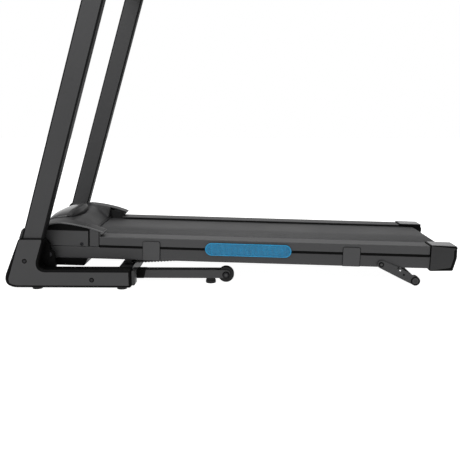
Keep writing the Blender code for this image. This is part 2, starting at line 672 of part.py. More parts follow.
def make_rear_caps(deck):
    """End caps over the side tubes' and rails' ends, open towards the front and round the belt's turn."""
    rear = (TAIL_X - PIVOT_X - CAP_TOP * math.sin(SLOPE)) / math.cos(SLOPE) + CAP_NOSE_ROUNDING
    front = RAIL_REAR + GAP
    outer_y = DECK_HALF_WIDTH + CAP_OVERHANG
    inner_y = DECK_HALF_WIDTH - RAIL_WIDTH
    for word, side in SIDES.items():
        side_view = rounded(
            [
                (front, CAP_BOTTOM, 0.003), (rear - 0.018, CAP_BOTTOM, 0.010),
                (rear, CAP_TOP - 0.016, 0.030), (rear - 0.005, CAP_TOP, 0.009), (front, CAP_TOP, 0.002),
            ],
            3,
        )
        whole = prism(side_view, *between(side, inner_y, outer_y), "Y")
        cap = solid(f"rear_cap_{word}", whole, "cap_plastic", deck)
        tube_end = REAR_ROLLER_X + 0.025 + GAP
        room_y = between(side, SIDE_TUBE_INNER_Y - GAP, SIDE_TUBE_OUTER_Y + GAP)
        cut(cap, block(front - 0.01, tube_end, *room_y, SIDE_TUBE_BOTTOM - GAP, SIDE_TUBE_TOP + GAP))
        hub = ROLLER_RADIUS + BELT_THICKNESS + GAP * 5
        belt_y = between(side, inner_y - 0.01, SIDE_TUBE_INNER_Y + GAP)
        cut(cap, block(front - 0.01, REAR_ROLLER_X + hub, *belt_y, ROLLER_Z - hub, BELT_TOP + 0.0008))


def make_motor(deck):
    """Drive motor on the first cross tube, its shaft with flywheel and pulley, and the ribbed drive belt."""
    half = MOTOR_LENGTH / 2
    body = prism(circle(MOTOR_X, MOTOR_Z, MOTOR_RADIUS, 32), -half, half, "Y")
    motor = solid("motor", body, "powder_coat", deck)
    seat = SIDE_TUBE_BOTTOM + CROSS_TUBE_HEIGHT + GAP
    top = MOTOR_Z - MOTOR_RADIUS * 0.8
    add(motor, block(MOTOR_X - 0.018, MOTOR_X + 0.018, -half * 0.8, half * 0.8, seat, top))
    cut(motor, prism(circle(MOTOR_X, MOTOR_Z, SHAFT_RADIUS + GAP, 16), -half - 0.01, -half + 0.03, "Y"))
    wheel_y = -half - 0.004
    shaft = prism(circle(MOTOR_X, MOTOR_Z, SHAFT_RADIUS, 16), drive_span(0.002)[0], -half + 0.028, "Y")
    rotor = solid("motor_rotor", shaft, "steel", deck, origin=(MOTOR_X, 0, MOTOR_Z))
    disc = circle(MOTOR_X, MOTOR_Z, FLYWHEEL_RADIUS, 32)
    add(rotor, prism(disc, wheel_y - FLYWHEEL_WIDTH, wheel_y, "Y"))
    add(rotor, prism(circle(MOTOR_X, MOTOR_Z, MOTOR_PULLEY_RADIUS), *drive_span(), "Y"))
    radii = (MOTOR_PULLEY_RADIUS + GAP, ROLLER_PULLEY_RADIUS + GAP)
    loops = [
        loop_outline(MOTOR_X, MOTOR_Z, radii[0], FRONT_ROLLER_X, ROLLER_Z, radii[1], offset)
        for offset in (DRIVE_BELT_THICKNESS, 0)
    ]
    belt = prism(loops[0], *drive_span(-0.0005), "Y", hole=loops[1])
    solid("drive_belt", belt, "rubber", deck)


def curve_at(points, x):
    """Height at x on straight runs between (x, z) points."""
    for (x0, z0), (x1, z1) in zip(points, points[1:]):
        if x <= x1:
            share = min(max((x - x0) / (x1 - x0), 0), 1)
            return z0 + (z1 - z0) * share
    return points[-1][1]


def hood_height(x, y):
    """The hood's top: a saddle that dives to the belt between two wings, with a boss at the front."""
    saddle = [
        (-0.072, 0.060), (-0.063, 0.083), (-0.048, 0.097), (-0.032, 0.1025), (-0.009, 0.1065),
        (0.037, 0.1085), (0.062, 0.101), (0.088, 0.080), (0.118, 0.0590),
    ]
    wing = [
        (-0.072, 0.060), (-0.045, 0.090), (-0.011, 0.1027), (0.028, 0.1075), (0.081, 0.102),
        (0.134, 0.0926), (0.160, 0.086), (0.184, 0.0785),
    ]
    boss = [
        (-0.072, 0.0), (-0.060, 0.004), (-0.032, 0.012), (-0.009, 0.019),
        (0.020, 0.026), (0.034, 0.026), (0.046, 0.0),
    ]
    outward = min(max(abs(y) - 0.12, 0) / (HOOD_INNER_WING_Y - 0.12), 1.0)
    blend = outward * outward * (3 - 2 * outward)
    height = curve_at(saddle, x) * (1 - blend) + curve_at(wing, x) * blend
    across = 1 - (abs(y) / HOOD_BOSS_HALF_WIDTH) ** 2.5
    return height + curve_at(boss, x) * math.sqrt(max(across, 0))


def make_hood(deck):
    """The motor cover: a thin shell, open below and notched at the back for the belt."""
    shape = bmesh.new()
    over_motor = [HOOD_FRONT, -0.060, -0.032, -0.009, 0.020, 0.036, 0.046, 0.062, 0.088]
    stations = over_motor + [HOOD_SLIT_X, 0.150, HOOD_TIP_X]
    slit = stations.index(HOOD_SLIT_X)
    wing, edge = HOOD_INNER_WING_Y, DECK_HALF_WIDTH
    half = [edge, edge - 0.012, wing, HOOD_BOSS_HALF_WIDTH, 0.07]
    columns = [-y for y in half] + [0.0] + half[::-1]
    last = len(columns) - 1
    grid = {}
    for i, x in enumerate(stations):
        for j, y in enumerate(columns):
            if i > slit and abs(y) < wing:
                continue
            sweep = HOOD_CORNER_SWEEP * (y / edge) ** 2 * max(0.0, 1 - i / 4)
            drop = 0.006 if j in (0, last) else 0
            grid[i, j] = shape.verts.new((x + sweep, y, hood_height(x, y) - drop))
    for i in range(len(stations) - 1):
        for j in range(last):
            corners = [grid.get(key) for key in ((i, j), (i + 1, j), (i + 1, j + 1), (i, j + 1))]
            if all(corners):
                shape.faces.new(corners)
    sides = range(slit + 1)
    rim = [(i, 0) for i in reversed(sides)] + [(0, j) for j in range(1, last)] + [(i, last) for i in sides]
    low = []
    for i, j in rim:
        x, y, z = grid[i, j].co
        inside = abs(columns[j]) <= wing
        bottom = SIDE_TUBE_BOTTOM if inside else SIDE_TUBE_TOP + GAP
        low.append(shape.verts.new((min(x, RAIL_FRONT - GAP * 2), y, bottom)))
    for index in range(len(rim) - 1):
        upper, after = grid[rim[index]], grid[rim[index + 1]]
        shape.faces.new((upper, after, low[index + 1], low[index]))
    hood = solid("motor_hood", shape, "hood_plastic", deck)
    shell = hood.modifiers.new("wall", "SOLIDIFY")
    shell.thickness = HOOD_THICKNESS
    shell.offset = -1


def make_belly_pan(deck):
    """The tray under the motor, open at the top, with the inlet and the switch in its front."""
    half = SIDE_TUBE_OUTER_Y - 0.004
    top = SIDE_TUBE_BOTTOM - GAP
    outline = [
        (PAN_FRONT, top, 0),
        (PAN_FRONT + 0.006, PAN_BOTTOM, 0.008),
        (PAN_REAR - 0.012, PAN_BOTTOM, 0.008),
        (PAN_REAR, top, 0),
    ]
    pan = solid("belly_pan", prism(rounded(outline, 3), -half, half, "Y"), "cap_plastic", deck)
    wall = PAN_WALL
    room = [
        (PAN_FRONT + wall, top + 0.01, 0), (PAN_FRONT + 0.006 + wall, PAN_BOTTOM + wall, 0.005),
        (PAN_REAR - 0.012 - wall, PAN_BOTTOM + wall, 0.005), (PAN_REAR - wall, top + 0.01, 0),
    ]
    cut(pan, prism(rounded(room, 3), -half + wall, half - wall, "Y"))
    tilt_y = 0.150
    floor = PAN_BOTTOM + wall + GAP
    board = block(PAN_FRONT + 0.063, PAN_REAR - 0.026, tilt_y - 0.045, tilt_y + 0.045, floor, floor + 0.018)
    solid("control_board", board, "steel", deck)


def make_incline_foot():
    """Two arms joined by a tube, with floor rollers at their ends and the studs that they swing on."""
    roller_z = FOOT_ROLLER_RADIUS
    dx, dz = FOOT_ROLLER_X - FOOT_PIVOT_X, roller_z - FOOT_PIVOT_Z
    angle = math.atan2(dz, dx)
    reach = math.hypot(dx, dz)
    along, up = Vector((math.cos(angle), math.sin(angle))), Vector((-math.sin(angle), math.cos(angle)))
    start = Vector((FOOT_PIVOT_X, FOOT_PIVOT_Z))
    tall = FOOT_ARM_HALF_HEIGHT
    corners = [(-0.013, -0.013, 0.0125), (-0.013, 0.014, 0.0125), (0.060, tall + 0.002, 0.03),
               (reach + 0.0155, tall - 0.004, 0.012), (reach + 0.0155, -0.0155, 0.015),
                (0.10, -tall + 0.001, 0.02)]
    outline = rounded([(*(start + along * u + up * v), radius) for u, v, radius in corners], 4)
    tube = circle(FOOT_ROLLER_X, roller_z, FOOT_TUBE_RADIUS, 20)
    near = DECK_HALF_WIDTH + 0.0015
    far = near + FOOT_ARM_THICKNESS
    foot = solid("incline_foot", prism(tube, -near - 0.001, near + 0.001, "Y"), "powder_coat",
                 origin=(FOOT_PIVOT_X, 0, FOOT_PIVOT_Z))
    for word, side in SIDES.items():
        add(foot, prism(outline, *between(side, near, far), "Y"))
        stud_y = between(side, SIDE_TUBE_OUTER_Y - TUBE_WALL - 0.002, near + 0.001)
        add(foot, prism(circle(FOOT_PIVOT_X, FOOT_PIVOT_Z, WHEEL_BOLT_RADIUS, 16), *stud_y, "Y"))
        head_y = between(side, far - 0.001, far + 0.003)
        add(foot, prism(circle(FOOT_PIVOT_X, FOOT_PIVOT_Z, 0.008, 16), *head_y, "Y"))
        for u, v, radius in ((0.0708, 0.0112, 0.004), (0.0886, 0.0022, 0.003)):
            hole = start + along * u + up * v
            cut(foot, prism(circle(*hole, radius, 12), *between(side, near - 0.01, far + 0.01), "Y"))
        roller_y = between(side, near - 0.001 - FOOT_ROLLER_WIDTH, near - 0.001)
        ring = circle(FOOT_ROLLER_X, roller_z, FOOT_TUBE_RADIUS + GAP, 28)
        tread = circle(FOOT_ROLLER_X, roller_z, FOOT_ROLLER_RADIUS, 28)
        middle = sum(roller_y) / 2
        solid(f"foot_roller_{word}", prism(tread, *roller_y, "Y", hole=ring), "rubber",
              origin=(FOOT_ROLLER_X, middle, roller_z))


def make_gas_strut():
    """The lift-assist strut: a cylinder pinned to the base and a rod that reaches a lug under the deck."""
    base = Vector((STRUT_BASE_X, STRUT_BASE_Z))
    tip = Vector(world_point(STRUT_DECK_X, STRUT_DECK_Z))
    along = (tip - base).normalized()
    roll = math.atan2(along.y, along.x)

    def rod(radius, start, end, count):
        """A round bar on the strut's line."""
        bar = prism(circle(0, 0, radius, count), start, end, "X")
        bmesh.ops.rotate(bar, verts=bar.verts, matrix=Matrix.Rotation(-roll, 3, "Y"))
        bmesh.ops.translate(bar, verts=bar.verts, vec=(base.x, STRUT_Y, base.y))
        return bar

    length = (tip - base).length
    eye = prism(circle(base.x, base.y, 0.009, 20), STRUT_Y - 0.0125, STRUT_Y + 0.0125, "Y")
    cylinder = solid("strut_cylinder", eye, "powder_coat", origin=(base.x, STRUT_Y, base.y))
    add(cylinder, rod(STRUT_CYLINDER_RADIUS, 0.016, STRUT_CYLINDER_LENGTH, 20))
    add(cylinder, rod(0.005, 0.002, 0.020, 12))
    cut(cylinder, rod(STRUT_ROD_RADIUS + GAP, 0.030, STRUT_CYLINDER_LENGTH + 0.01, 16))
    shank = solid("strut_rod", rod(STRUT_ROD_RADIUS, 0.035, length - 0.004, 16), "steel",
                  origin=(tip.x, STRUT_Y, tip.y))
    add(shank, prism(circle(tip.x, tip.y, 0.008, 20), STRUT_Y - 0.004, STRUT_Y + 0.004, "Y"))
    cut(shank, prism(circle(tip.x, tip.y, STRUT_PIN_RADIUS, 12), STRUT_Y - 0.02, STRUT_Y + 0.02, "Y"))


def add_strut_lug():
    """The plates on the second cross tube that the strut's rod end meets."""
    tube = bpy.data.objects["deck_cross_tube_2"]
    front = CROSS_TUBE_PLACES[1] - CROSS_TUBE_LENGTH / 2
    lug = rounded(
        [
            (STRUT_DECK_X - 0.010, STRUT_DECK_Z - 0.009, 0.008), (front + 0.001, SIDE_TUBE_BOTTOM + 0.001, 0),
            (front + 0.001, SIDE_TUBE_BOTTOM + CROSS_TUBE_HEIGHT - 0.002, 0),
            (STRUT_DECK_X - 0.010, STRUT_DECK_Z + 0.011, 0.008),
        ],
        3,
    )
    for offset in (-0.0085, 0.0045):
        add(tube, prism(lug, STRUT_Y + offset, STRUT_Y + offset + 0.004, "Y"))


def add_mains_panel(deck):
    """The inlet's rim and the rocker switch on the front of the belly pan."""
    pan = bpy.data.objects["belly_pan"]
    middle = (PAN_BOTTOM + SIDE_TUBE_BOTTOM) / 2
    inlet = block(PAN_FRONT - 0.006, PAN_FRONT + 0.008, 0.150, 0.182, middle - 0.0105, middle + 0.0105)
    add(pan, inlet)
    cut(pan, block(PAN_FRONT - 0.010, PAN_FRONT - 0.002, 0.154, 0.178, middle - 0.0075, middle + 0.0075))
    add(pan, block(PAN_FRONT - 0.004, PAN_FRONT + 0.008, 0.200, 0.226, middle - 0.0095, middle + 0.0095))
    cut(pan, block(PAN_FRONT - 0.010, PAN_FRONT + 0.001, 0.203, 0.223, middle - 0.0065, middle + 0.0065))
    x = PAN_FRONT - 0.003
    rocker = [(x + 0.001, middle - 0.0045, 0), (x - 0.003, middle - 0.0035, 0), (x - 0.0015, middle, 0),
              (x - 0.003, middle + 0.0035, 0), (x + 0.001, middle + 0.0045, 0)]
    body = prism(rounded(rocker), 0.203 + GAP, 0.223 - GAP, "Y")
    solid("mains_switch", body, "key_red", deck, origin=(x, 0.213, middle))


def make_console():
    """The console between the uprights, with its display, keys and safety key on its face."""
    face_low = Vector((CONSOLE_X + PANEL_LOW[0], PANEL_LOW[1]))
    face_high = Vector((CONSOLE_X + PANEL_HIGH[0], PANEL_HIGH[1]))
    corners = [
        (CONSOLE_X - 0.042, CONSOLE_BOTTOM + 0.008, 0.010),
        (CONSOLE_X + 0.085, CONSOLE_BOTTOM, 0.008),
        (*face_low, 0.008),
        (*face_high, 0.012),
        (CONSOLE_X - 0.027, CONSOLE_TOP, 0.015),
        (CONSOLE_X - 0.065, CONSOLE_TOP - 0.020, 0.020),
        (CONSOLE_X - 0.077, CONSOLE_BOTTOM + 0.075, 0.030),
    ]
    outline = rounded(corners, 3)
    console = solid("console", prism(outline, -CONSOLE_HALF_WIDTH, CONSOLE_HALF_WIDTH, "Y"), "boot_plastic")
    middle = (face_low + face_high) / 2
    tilt = math.atan2(face_high.y - face_low.y, face_low.x - face_high.x)
    panel = empty("console_panel", (middle.x, 0, middle.y), (0, tilt, 0))

    def pocket(shape):
        """Cut the console with a shape that is given in the panel's frame."""
        bmesh.ops.rotate(shape, verts=shape.verts, matrix=Matrix.Rotation(tilt, 3, "Y"))
        bmesh.ops.translate(shape, verts=shape.verts, vec=(middle.x, 0, middle.y))
        cut(console, shape)

    half_w, low, high = DISPLAY_WIDTH / 2, DISPLAY_LOW, DISPLAY_LOW + DISPLAY_HEIGHT
    pocket(block(low - GAP, high + GAP, -half_w - GAP, half_w + GAP, -0.004 - GAP, POCKET_TOP))
    solid("display", block(low, high, -half_w, half_w, -0.004, -0.0005), "screen", panel)
    for index, name in enumerate(("key_slower", "key_start_stop", "key_faster")):
        x, y = KEY_ROW_X, (index - 1) * KEY_PITCH
        half_d, half_k = KEY_DEPTH / 2, KEY_WIDTH / 2
        shape = prism(rectangle(x - half_d, x + half_d, y - half_k, y + half_k, 0.005, 3), -0.003, 0.003, "Z")
        half_d, half_k = half_d + GAP, half_k + GAP
        well = rectangle(x - half_d, x + half_d, y - half_k, y + half_k, 0.005, 3)
        pocket(prism(well, -0.003 - KEY_TRAVEL - GAP, POCKET_TOP, "Z"))
        solid(name, shape, "key_red" if index == 1 else "key_grey", panel, origin=(x, y, 0))
    hole = circle(SAFETY_KEY_X, SAFETY_KEY_Y, SAFETY_KEY_RADIUS + GAP)
    pocket(prism(hole, -0.006 - GAP, POCKET_TOP, "Z"))
    safety = prism(circle(SAFETY_KEY_X, SAFETY_KEY_Y, SAFETY_KEY_RADIUS), -0.006, 0.010, "Z")
    solid("safety_key", safety, "key_red", panel, origin=(SAFETY_KEY_X, SAFETY_KEY_Y, 0))


def make_handrails():
    """A foam-covered tube from each upright, running back level at hand height."""
    lean = math.radians(UPRIGHT_LEAN)
    out = Vector((math.cos(lean), -math.sin(lean)))
    face_x = UPRIGHT_FOOT_X + UPRIGHT_DEPTH / 2 + (HANDRAIL_Z + 0.012 - ARM_TOP) * LEAN
    start = Vector((face_x, HANDRAIL_Z + 0.012)) + out * GAP
    bend = start + out * 0.040
    end = Vector((start.x + HANDRAIL_LENGTH, bend.y))
    path = [start]
    for step in range(7):
        share = step / 6
        first = start.lerp(bend, 0.4 + 0.6 * share)
        second = bend.lerp(bend + Vector((0.030, 0)), share)
        path.append(first.lerp(second, share))
    path += [bend.lerp(end, 0.5), end]
    for word, side in SIDES.items():
        curve = bpy.data.curves.new(f"handrail_{word}", "CURVE")
        curve.dimensions = "3D"
        curve.bevel_depth = HANDRAIL_RADIUS
        curve.bevel_resolution = 3
        curve.use_fill_caps = True
        spline = curve.splines.new("POLY")
        spline.points.add(len(path) - 1)
        for point, (x, z) in zip(spline.points, path):
            point.co = (x, side * UPRIGHT_Y, z, 1)
        rail = bpy.data.objects.new(f"handrail_{word}", curve)
        curve.materials.append(finish_material("rubber"))
        bpy.context.scene.collection.objects.link(rail)


def build():
    """Make every piece."""
    clear_scene()
    make_base_frame()
    fit_wheel_forks()
    make_wheels_and_feet()
    make_boots()
    make_pivot_bolts()
    deck = empty("deck_pivot", (PIVOT_X, 0, PIVOT_Z), (0, SLOPE, 0))
    make_deck_frame(deck)
    add_strut_lug()
    make_running_surface(deck)
    make_rails(deck)
    make_rear_caps(deck)
    make_motor(deck)
    make_hood(deck)
    make_belly_pan(deck)
    add_mains_panel(deck)
    make_incline_foot()
    make_gas_strut()
    make_console()
    make_handrails()


build()
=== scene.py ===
import json
import math

import bmesh
import bpy
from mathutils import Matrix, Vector

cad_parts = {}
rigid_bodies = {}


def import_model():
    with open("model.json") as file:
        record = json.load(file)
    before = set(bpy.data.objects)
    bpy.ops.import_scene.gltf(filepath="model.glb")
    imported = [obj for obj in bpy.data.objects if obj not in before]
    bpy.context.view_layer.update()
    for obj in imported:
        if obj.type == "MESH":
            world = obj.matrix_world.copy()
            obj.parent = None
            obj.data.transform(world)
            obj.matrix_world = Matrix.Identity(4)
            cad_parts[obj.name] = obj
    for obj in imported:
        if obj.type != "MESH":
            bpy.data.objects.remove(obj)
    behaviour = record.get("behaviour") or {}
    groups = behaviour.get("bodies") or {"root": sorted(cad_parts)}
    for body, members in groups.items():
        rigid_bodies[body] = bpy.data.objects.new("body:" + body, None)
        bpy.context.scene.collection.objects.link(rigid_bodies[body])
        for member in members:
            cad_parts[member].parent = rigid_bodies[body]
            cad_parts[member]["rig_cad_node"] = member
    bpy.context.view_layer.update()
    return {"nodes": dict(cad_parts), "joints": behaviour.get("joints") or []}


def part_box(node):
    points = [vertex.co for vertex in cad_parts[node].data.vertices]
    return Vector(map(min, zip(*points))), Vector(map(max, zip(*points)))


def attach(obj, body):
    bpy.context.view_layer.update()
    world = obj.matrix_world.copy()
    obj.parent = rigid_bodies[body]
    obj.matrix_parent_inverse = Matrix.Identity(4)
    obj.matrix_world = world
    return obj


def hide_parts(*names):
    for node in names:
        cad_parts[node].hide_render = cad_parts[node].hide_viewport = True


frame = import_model()
nodes = frame["nodes"]
print("frame loaded:", len(nodes), "nodes")

studio = {
    "eye": (0.019, -2.522, 0.596),  # metres; the user's left, a little above the deck
    "yawRadians": -0.0145,
    "pitchRadians": 0.1748,
    "lensMm": 51.0,
    "sensorMm": 36.0,
    "floorHex": "#a8a8a8",
    "floorGlow": 0.97,
    "skyStrength": 0.75,
    "sideStrength": 0.12,
    "lights": [  # name, place, aim, width in metres, watts
        ("key", (-1.6, -2.6, 2.6), (0.0, 0.0, 0.2), 2.0, 70.0),
        ("fill", (2.4, -1.8, 1.8), (0.2, 0.0, 0.2), 2.2, 14.0),
        ("top", (0.0, 0.3, 3.0), (0.0, 0.0, 0.0), 2.6, 60.0),
    ],
}


def linearRgb(hexColour):
    digits = hexColour.lstrip("#")
    values = [int(digits[i:i + 2], 16) / 255 for i in (0, 2, 4)]
    return tuple(v / 12.92 if v <= 0.04045 else ((v + 0.055) / 1.055) ** 2.4 for v in values) + (1.0,)


def addNode(material, kind, settings=None, links=None):
    node = material.node_tree.nodes.new(kind)
    for key, value in (settings or {}).items():
        if isinstance(key, int) or key in node.inputs:
            node.inputs[key].default_value = value
        else:
            setattr(node, key, value)
    for key, source in (links or {}).items():
        material.node_tree.links.new(source, node.inputs[key])
    return node


def newMaterial(name, values):
    # values: hex, rough, ior, metallic and specular; any other shader socket by its own name, in sockets
    material = bpy.data.materials.new(name)
    material.use_nodes = True
    shader = material.node_tree.nodes["Principled BSDF"]
    shader.inputs["Base Color"].default_value = linearRgb(values["hex"])
    shader.inputs["Roughness"].default_value = values.get("rough", 0.5)
    shader.inputs["Metallic"].default_value = values.get("metallic", 0.0)
    shader.inputs["IOR"].default_value = values.get("ior", 1.5)
    # below the usual half, because a fine texture shades itself
    shader.inputs["Specular IOR Level"].default_value = values.get("specular", 0.4)
    for socket, value in values.get("sockets", {}).items():
        shader.inputs[socket].default_value = value
    return material, shader


def grained(name, values):
    # a surface with a fine grain in its relief, and slow drifts of colour and gloss
    material, shader = newMaterial(name, values)
    link = material.node_tree.links.new
    place = addNode(material, "ShaderNodeTexCoord").outputs["Object"]
    if "stretch" in values:
        mapping = addNode(material, "ShaderNodeMapping", {"Scale": values["stretch"]}, {"Vector": place})
        place = mapping.outputs[0]
    grain = addNode(material, "ShaderNodeTexNoise",
                    {"Scale": 1000 / values["grainMm"], "Detail": 3.0, "Roughness": 0.6}, {"Vector": place})
    drift = addNode(material, "ShaderNodeTexNoise", {"Scale": 1000 / values["driftMm"], "Detail": 4.0},
                    {"Vector": place})
    tint = addNode(material, "ShaderNodeValToRGB", {}, {"Fac": drift.outputs["Fac"]})
    darker, lighter = tint.color_ramp.elements
    darker.position, lighter.position = 0.30, 0.72
    darker.color, lighter.color = linearRgb(values["hexLow"]), linearRgb(values["hex"])
    speck = addNode(material, "ShaderNodeMapRange",
                    {"From Min": 0.35, "From Max": 0.65, "To Min": 0.90, "To Max": 1.08},
                    {"Value": grain.outputs["Fac"]})
    colour = addNode(material, "ShaderNodeMix",
                     {"data_type": "RGBA", "blend_type": "MULTIPLY", "Factor": 1.0},
                     {6: tint.outputs["Color"], 7: speck.outputs["Result"]})
    link(colour.outputs[2], shader.inputs["Base Color"])
    spread = values.get("roughSpread", 0.06)
    dull, shiny = values["rough"] + spread, values["rough"] - spread
    gloss = addNode(material, "ShaderNodeMapRange",
                    {"From Min": 0.3, "From Max": 0.7, "To Min": shiny, "To Max": dull},
                    {"Value": drift.outputs["Fac"]})
    link(gloss.outputs["Result"], shader.inputs["Roughness"])
    # the grain stands a quarter of its own size proud
    relief = addNode(material, "ShaderNodeBump",
                     {"Strength": values["relief"], "Distance": values["grainMm"] / 4000},
                     {"Height": grain.outputs["Fac"]})
    link(relief.outputs["Normal"], shader.inputs["Normal"])
    return material, shader, place, relief


def coat(name, **values):
    return grained(name, values)[0]


# powder coat: polyester baked on steel, with an orange peel of about 1 mm that breaks up the highlights
powderCoatedSteel = coat("powderCoatedSteel", hex="#262627", hexLow="#222223", rough=0.50, grainMm=1.2,
    relief=0.22, driftMm=160)
# moulded ABS: a spark-eroded texture just under 1 mm gives a dull, even sheen
texturedAbs = coat("texturedAbs", hex="#262627", hexLow="#222223", rough=0.55, ior=1.53, grainMm=0.9,
    relief=0.30, driftMm=140)
# smooth ABS: finer tool finish, clearer highlights on the motor hood
satinAbs = coat("satinAbs", hex="#1a1a1b", hexLow="#171718", rough=0.46, specular=0.2, ior=1.53,
    grainMm=0.7, relief=0.08, driftMm=120)
# near-black polished ABS in two roles: painted shade on the mouldings' rounded rims and on shaded spots, and
# the real black of small caps, washers and plugs
nearBlackAbsAndPaintedShade = coat("nearBlackAbsAndPaintedShade", hex="#060606", hexLow="#050505", rough=0.45, specular=0.04, grainMm=0.9,
    relief=0.08, driftMm=90)
# painted shade: the posts' front and rear faces and rounded corners, turned away from the lights, are near
# black and matt; the strut's cylinder takes the same dark coat
postShadeAndStrutCoat = coat("paintedPostShadeAndStrutBlack", hex="#070708", hexLow="#050506", rough=0.6, specular=0.12, grainMm=1.4,
    relief=0.3, driftMm=150)
# polished ABS: the raised boss mirrors the lights, its lip and side panels only catch them softly
glossAbs = coat("glossAbs", hex="#2d2d2e", hexLow="#282829", rough=0.16, ior=1.53, grainMm=0.9,
    relief=0.03, roughSpread=0.03, driftMm=90)
# the lip's pale colour is a painted highlight, the light along its rounded edge
lipHighlightAbs = coat("lipHighlightAbs", hex="#404041", hexLow="#3a3a3b", rough=0.30, ior=1.53, grainMm=0.7, relief=0.06,
    driftMm=90)
hoodPanelAbs = coat("hoodPanelAbs", hex="#242425", hexLow="#202021", rough=0.42, ior=1.53, grainMm=0.8,
    relief=0.12, driftMm=90)
# foot rail: extruded PVC with a matt top, a little lighter than the frame
extrudedPvc = coat("extrudedPvc", hex="#2a2a2b", hexLow="#262627", rough=0.52, ior=1.53, grainMm=1.0,
    relief=0.25, driftMm=180, stretch=(0.25, 1.0, 1.0))
# darker ABS of caps and seals: the same texture, almost black
darkAbs = coat("darkAbs", hex="#0f0f10", hexLow="#0c0c0d", rough=0.50, ior=1.53, grainMm=0.9, relief=0.28,
    driftMm=110)
# moulded rubber: dull, slightly chalky
mouldedRubber = coat("mouldedRubber", hex="#0e0e0f", hexLow="#0b0b0c", rough=0.80, ior=1.52, grainMm=1.4,
    relief=0.35, driftMm=40)
# closed-cell foam: cells of nearly 2 mm break up its skin, and it has no gloss
foamGrip = coat("foamGrip", hex="#1b1b1c", hexLow="#151516", rough=0.92, ior=1.45, grainMm=1.8,
    relief=0.75, driftMm=50, sockets={"Sheen Weight": 0.25, "Sheen Roughness": 0.6})
# zinc-plated steel: pale grey metal with faint turning marks
platedSteel = coat("platedSteel", hex="#b9b9bb", hexLow="#a3a3a6", rough=0.30, metallic=1.0, grainMm=0.8,
    relief=0.12, driftMm=25, stretch=(1.0, 6.0, 1.0))
# black oxide screws: dark metal, oily sheen
blackOxide = coat("blackOxide", hex="#2a2a2c", hexLow="#222224", rough=0.38, metallic=1.0, grainMm=0.6,
    relief=0.15, driftMm=15)
# chromed steel: a mirror with hardly any drift in it
chromedSteel = coat("chromedSteel", hex="#d6d7d9", hexLow="#cccdcf", rough=0.10, metallic=1.0,
    grainMm=2.0, relief=0.02, roughSpread=0.02, driftMm=30)
# phenolic-faced board: brown-black film over plywood
phenolicBoard = coat("phenolicBoard", hex="#3a2a20", hexLow="#2e2119", rough=0.45, ior=1.55, grainMm=2.5,
    relief=0.15, driftMm=60, stretch=(0.2, 1.0, 1.0))
# solder mask: green lacquer over copper, with the tracks standing up under it
solderMask = coat("solderMask", hex="#1d4a2c", hexLow="#173d24", rough=0.40, grainMm=2.0, relief=0.5,
    driftMm=8)
# moulded key caps: plain colour with a soft sheen
redAbs = coat("redAbs", hex="#b3261e", hexLow="#a6221b", rough=0.42, ior=1.53, grainMm=0.6, relief=0.15,
    driftMm=30)
greyAbs = coat("greyAbs", hex="#6b6c6e", hexLow="#636466", rough=0.42, ior=1.53, grainMm=0.6, relief=0.15,
    driftMm=30)
# pad-printed ink: thin, pale and flat
paleInk = coat("paleInk", hex="#d9dadb", hexLow="#cfd0d1", rough=0.5, grainMm=0.5, relief=0.05,
    driftMm=10)
# smoked acrylic window: polished, nearly black
smokedAcrylic = coat("smokedAcrylic", hex="#0b0d10", hexLow="#090a0d", rough=0.06, ior=1.49, grainMm=3.0,
    relief=0.01, roughSpread=0.01, driftMm=80, sockets={"Coat Weight": 1.0, "Coat Roughness": 0.03})
# lit numerals: pale blue segments that glow a little
litSegments = coat("litSegments", hex="#7fd4ff", hexLow="#74c9f5", rough=0.4, grainMm=1.0, relief=0.02,
    driftMm=10, sockets={"Emission Color": linearRgb("#6fcbff"), "Emission Strength": 0.8})
# tinted polycarbonate over the dampers: clear blue depth with a soft gloss
tintedPolycarbonate = coat("tintedPolycarbonate", hex="#094f70", hexLow="#084763", rough=0.28,
    specular=0.2, ior=1.585, grainMm=2.0, relief=0.05, driftMm=60,
    sockets={"Subsurface Weight": 0.25, "Subsurface Scale": 0.004, "Coat Weight": 0.08})
# the same polycarbonate where it is thick and frosted: the cover's ribs and rim look paler
paleBluePolycarbonate = coat("paleBluePolycarbonate", hex="#0e78a2", hexLow="#0c6c94", rough=0.25,
    specular=0.2, ior=1.585, grainMm=2.0, relief=0.05, driftMm=40, sockets={"Coat Weight": 0.08})
# rear caps: ABS in a darker tone, dull beside the pad on their top
capAbs = coat("capAbs", hex="#0e0e0f", hexLow="#0c0c0d", rough=0.50, ior=1.53, specular=0.35, grainMm=0.9,
    relief=0.2, driftMm=90)
# that pad: a pale colour, a painted highlight for the streak of light along the cap's top, with a gloss of
# its own
padHighlightAbs = coat("padHighlightAbs", hex="#505051", hexLow="#49494a", rough=0.26, ior=1.53, grainMm=0.9, relief=0.08,
    driftMm=60)
# thinly coated sheet steel of the clip plates: a shade paler than the tube beside it
clipSteel = coat("clipSteel", hex="#303031", hexLow="#2b2b2c", rough=0.46, grainMm=1.0, relief=0.2,
    driftMm=60)
# tyre and foot rubber: black and dull
blackRubber = coat("blackRubber", hex="#070707", hexLow="#050506", rough=0.62, ior=1.52, specular=0.25,
    grainMm=1.4, relief=0.3, driftMm=40)


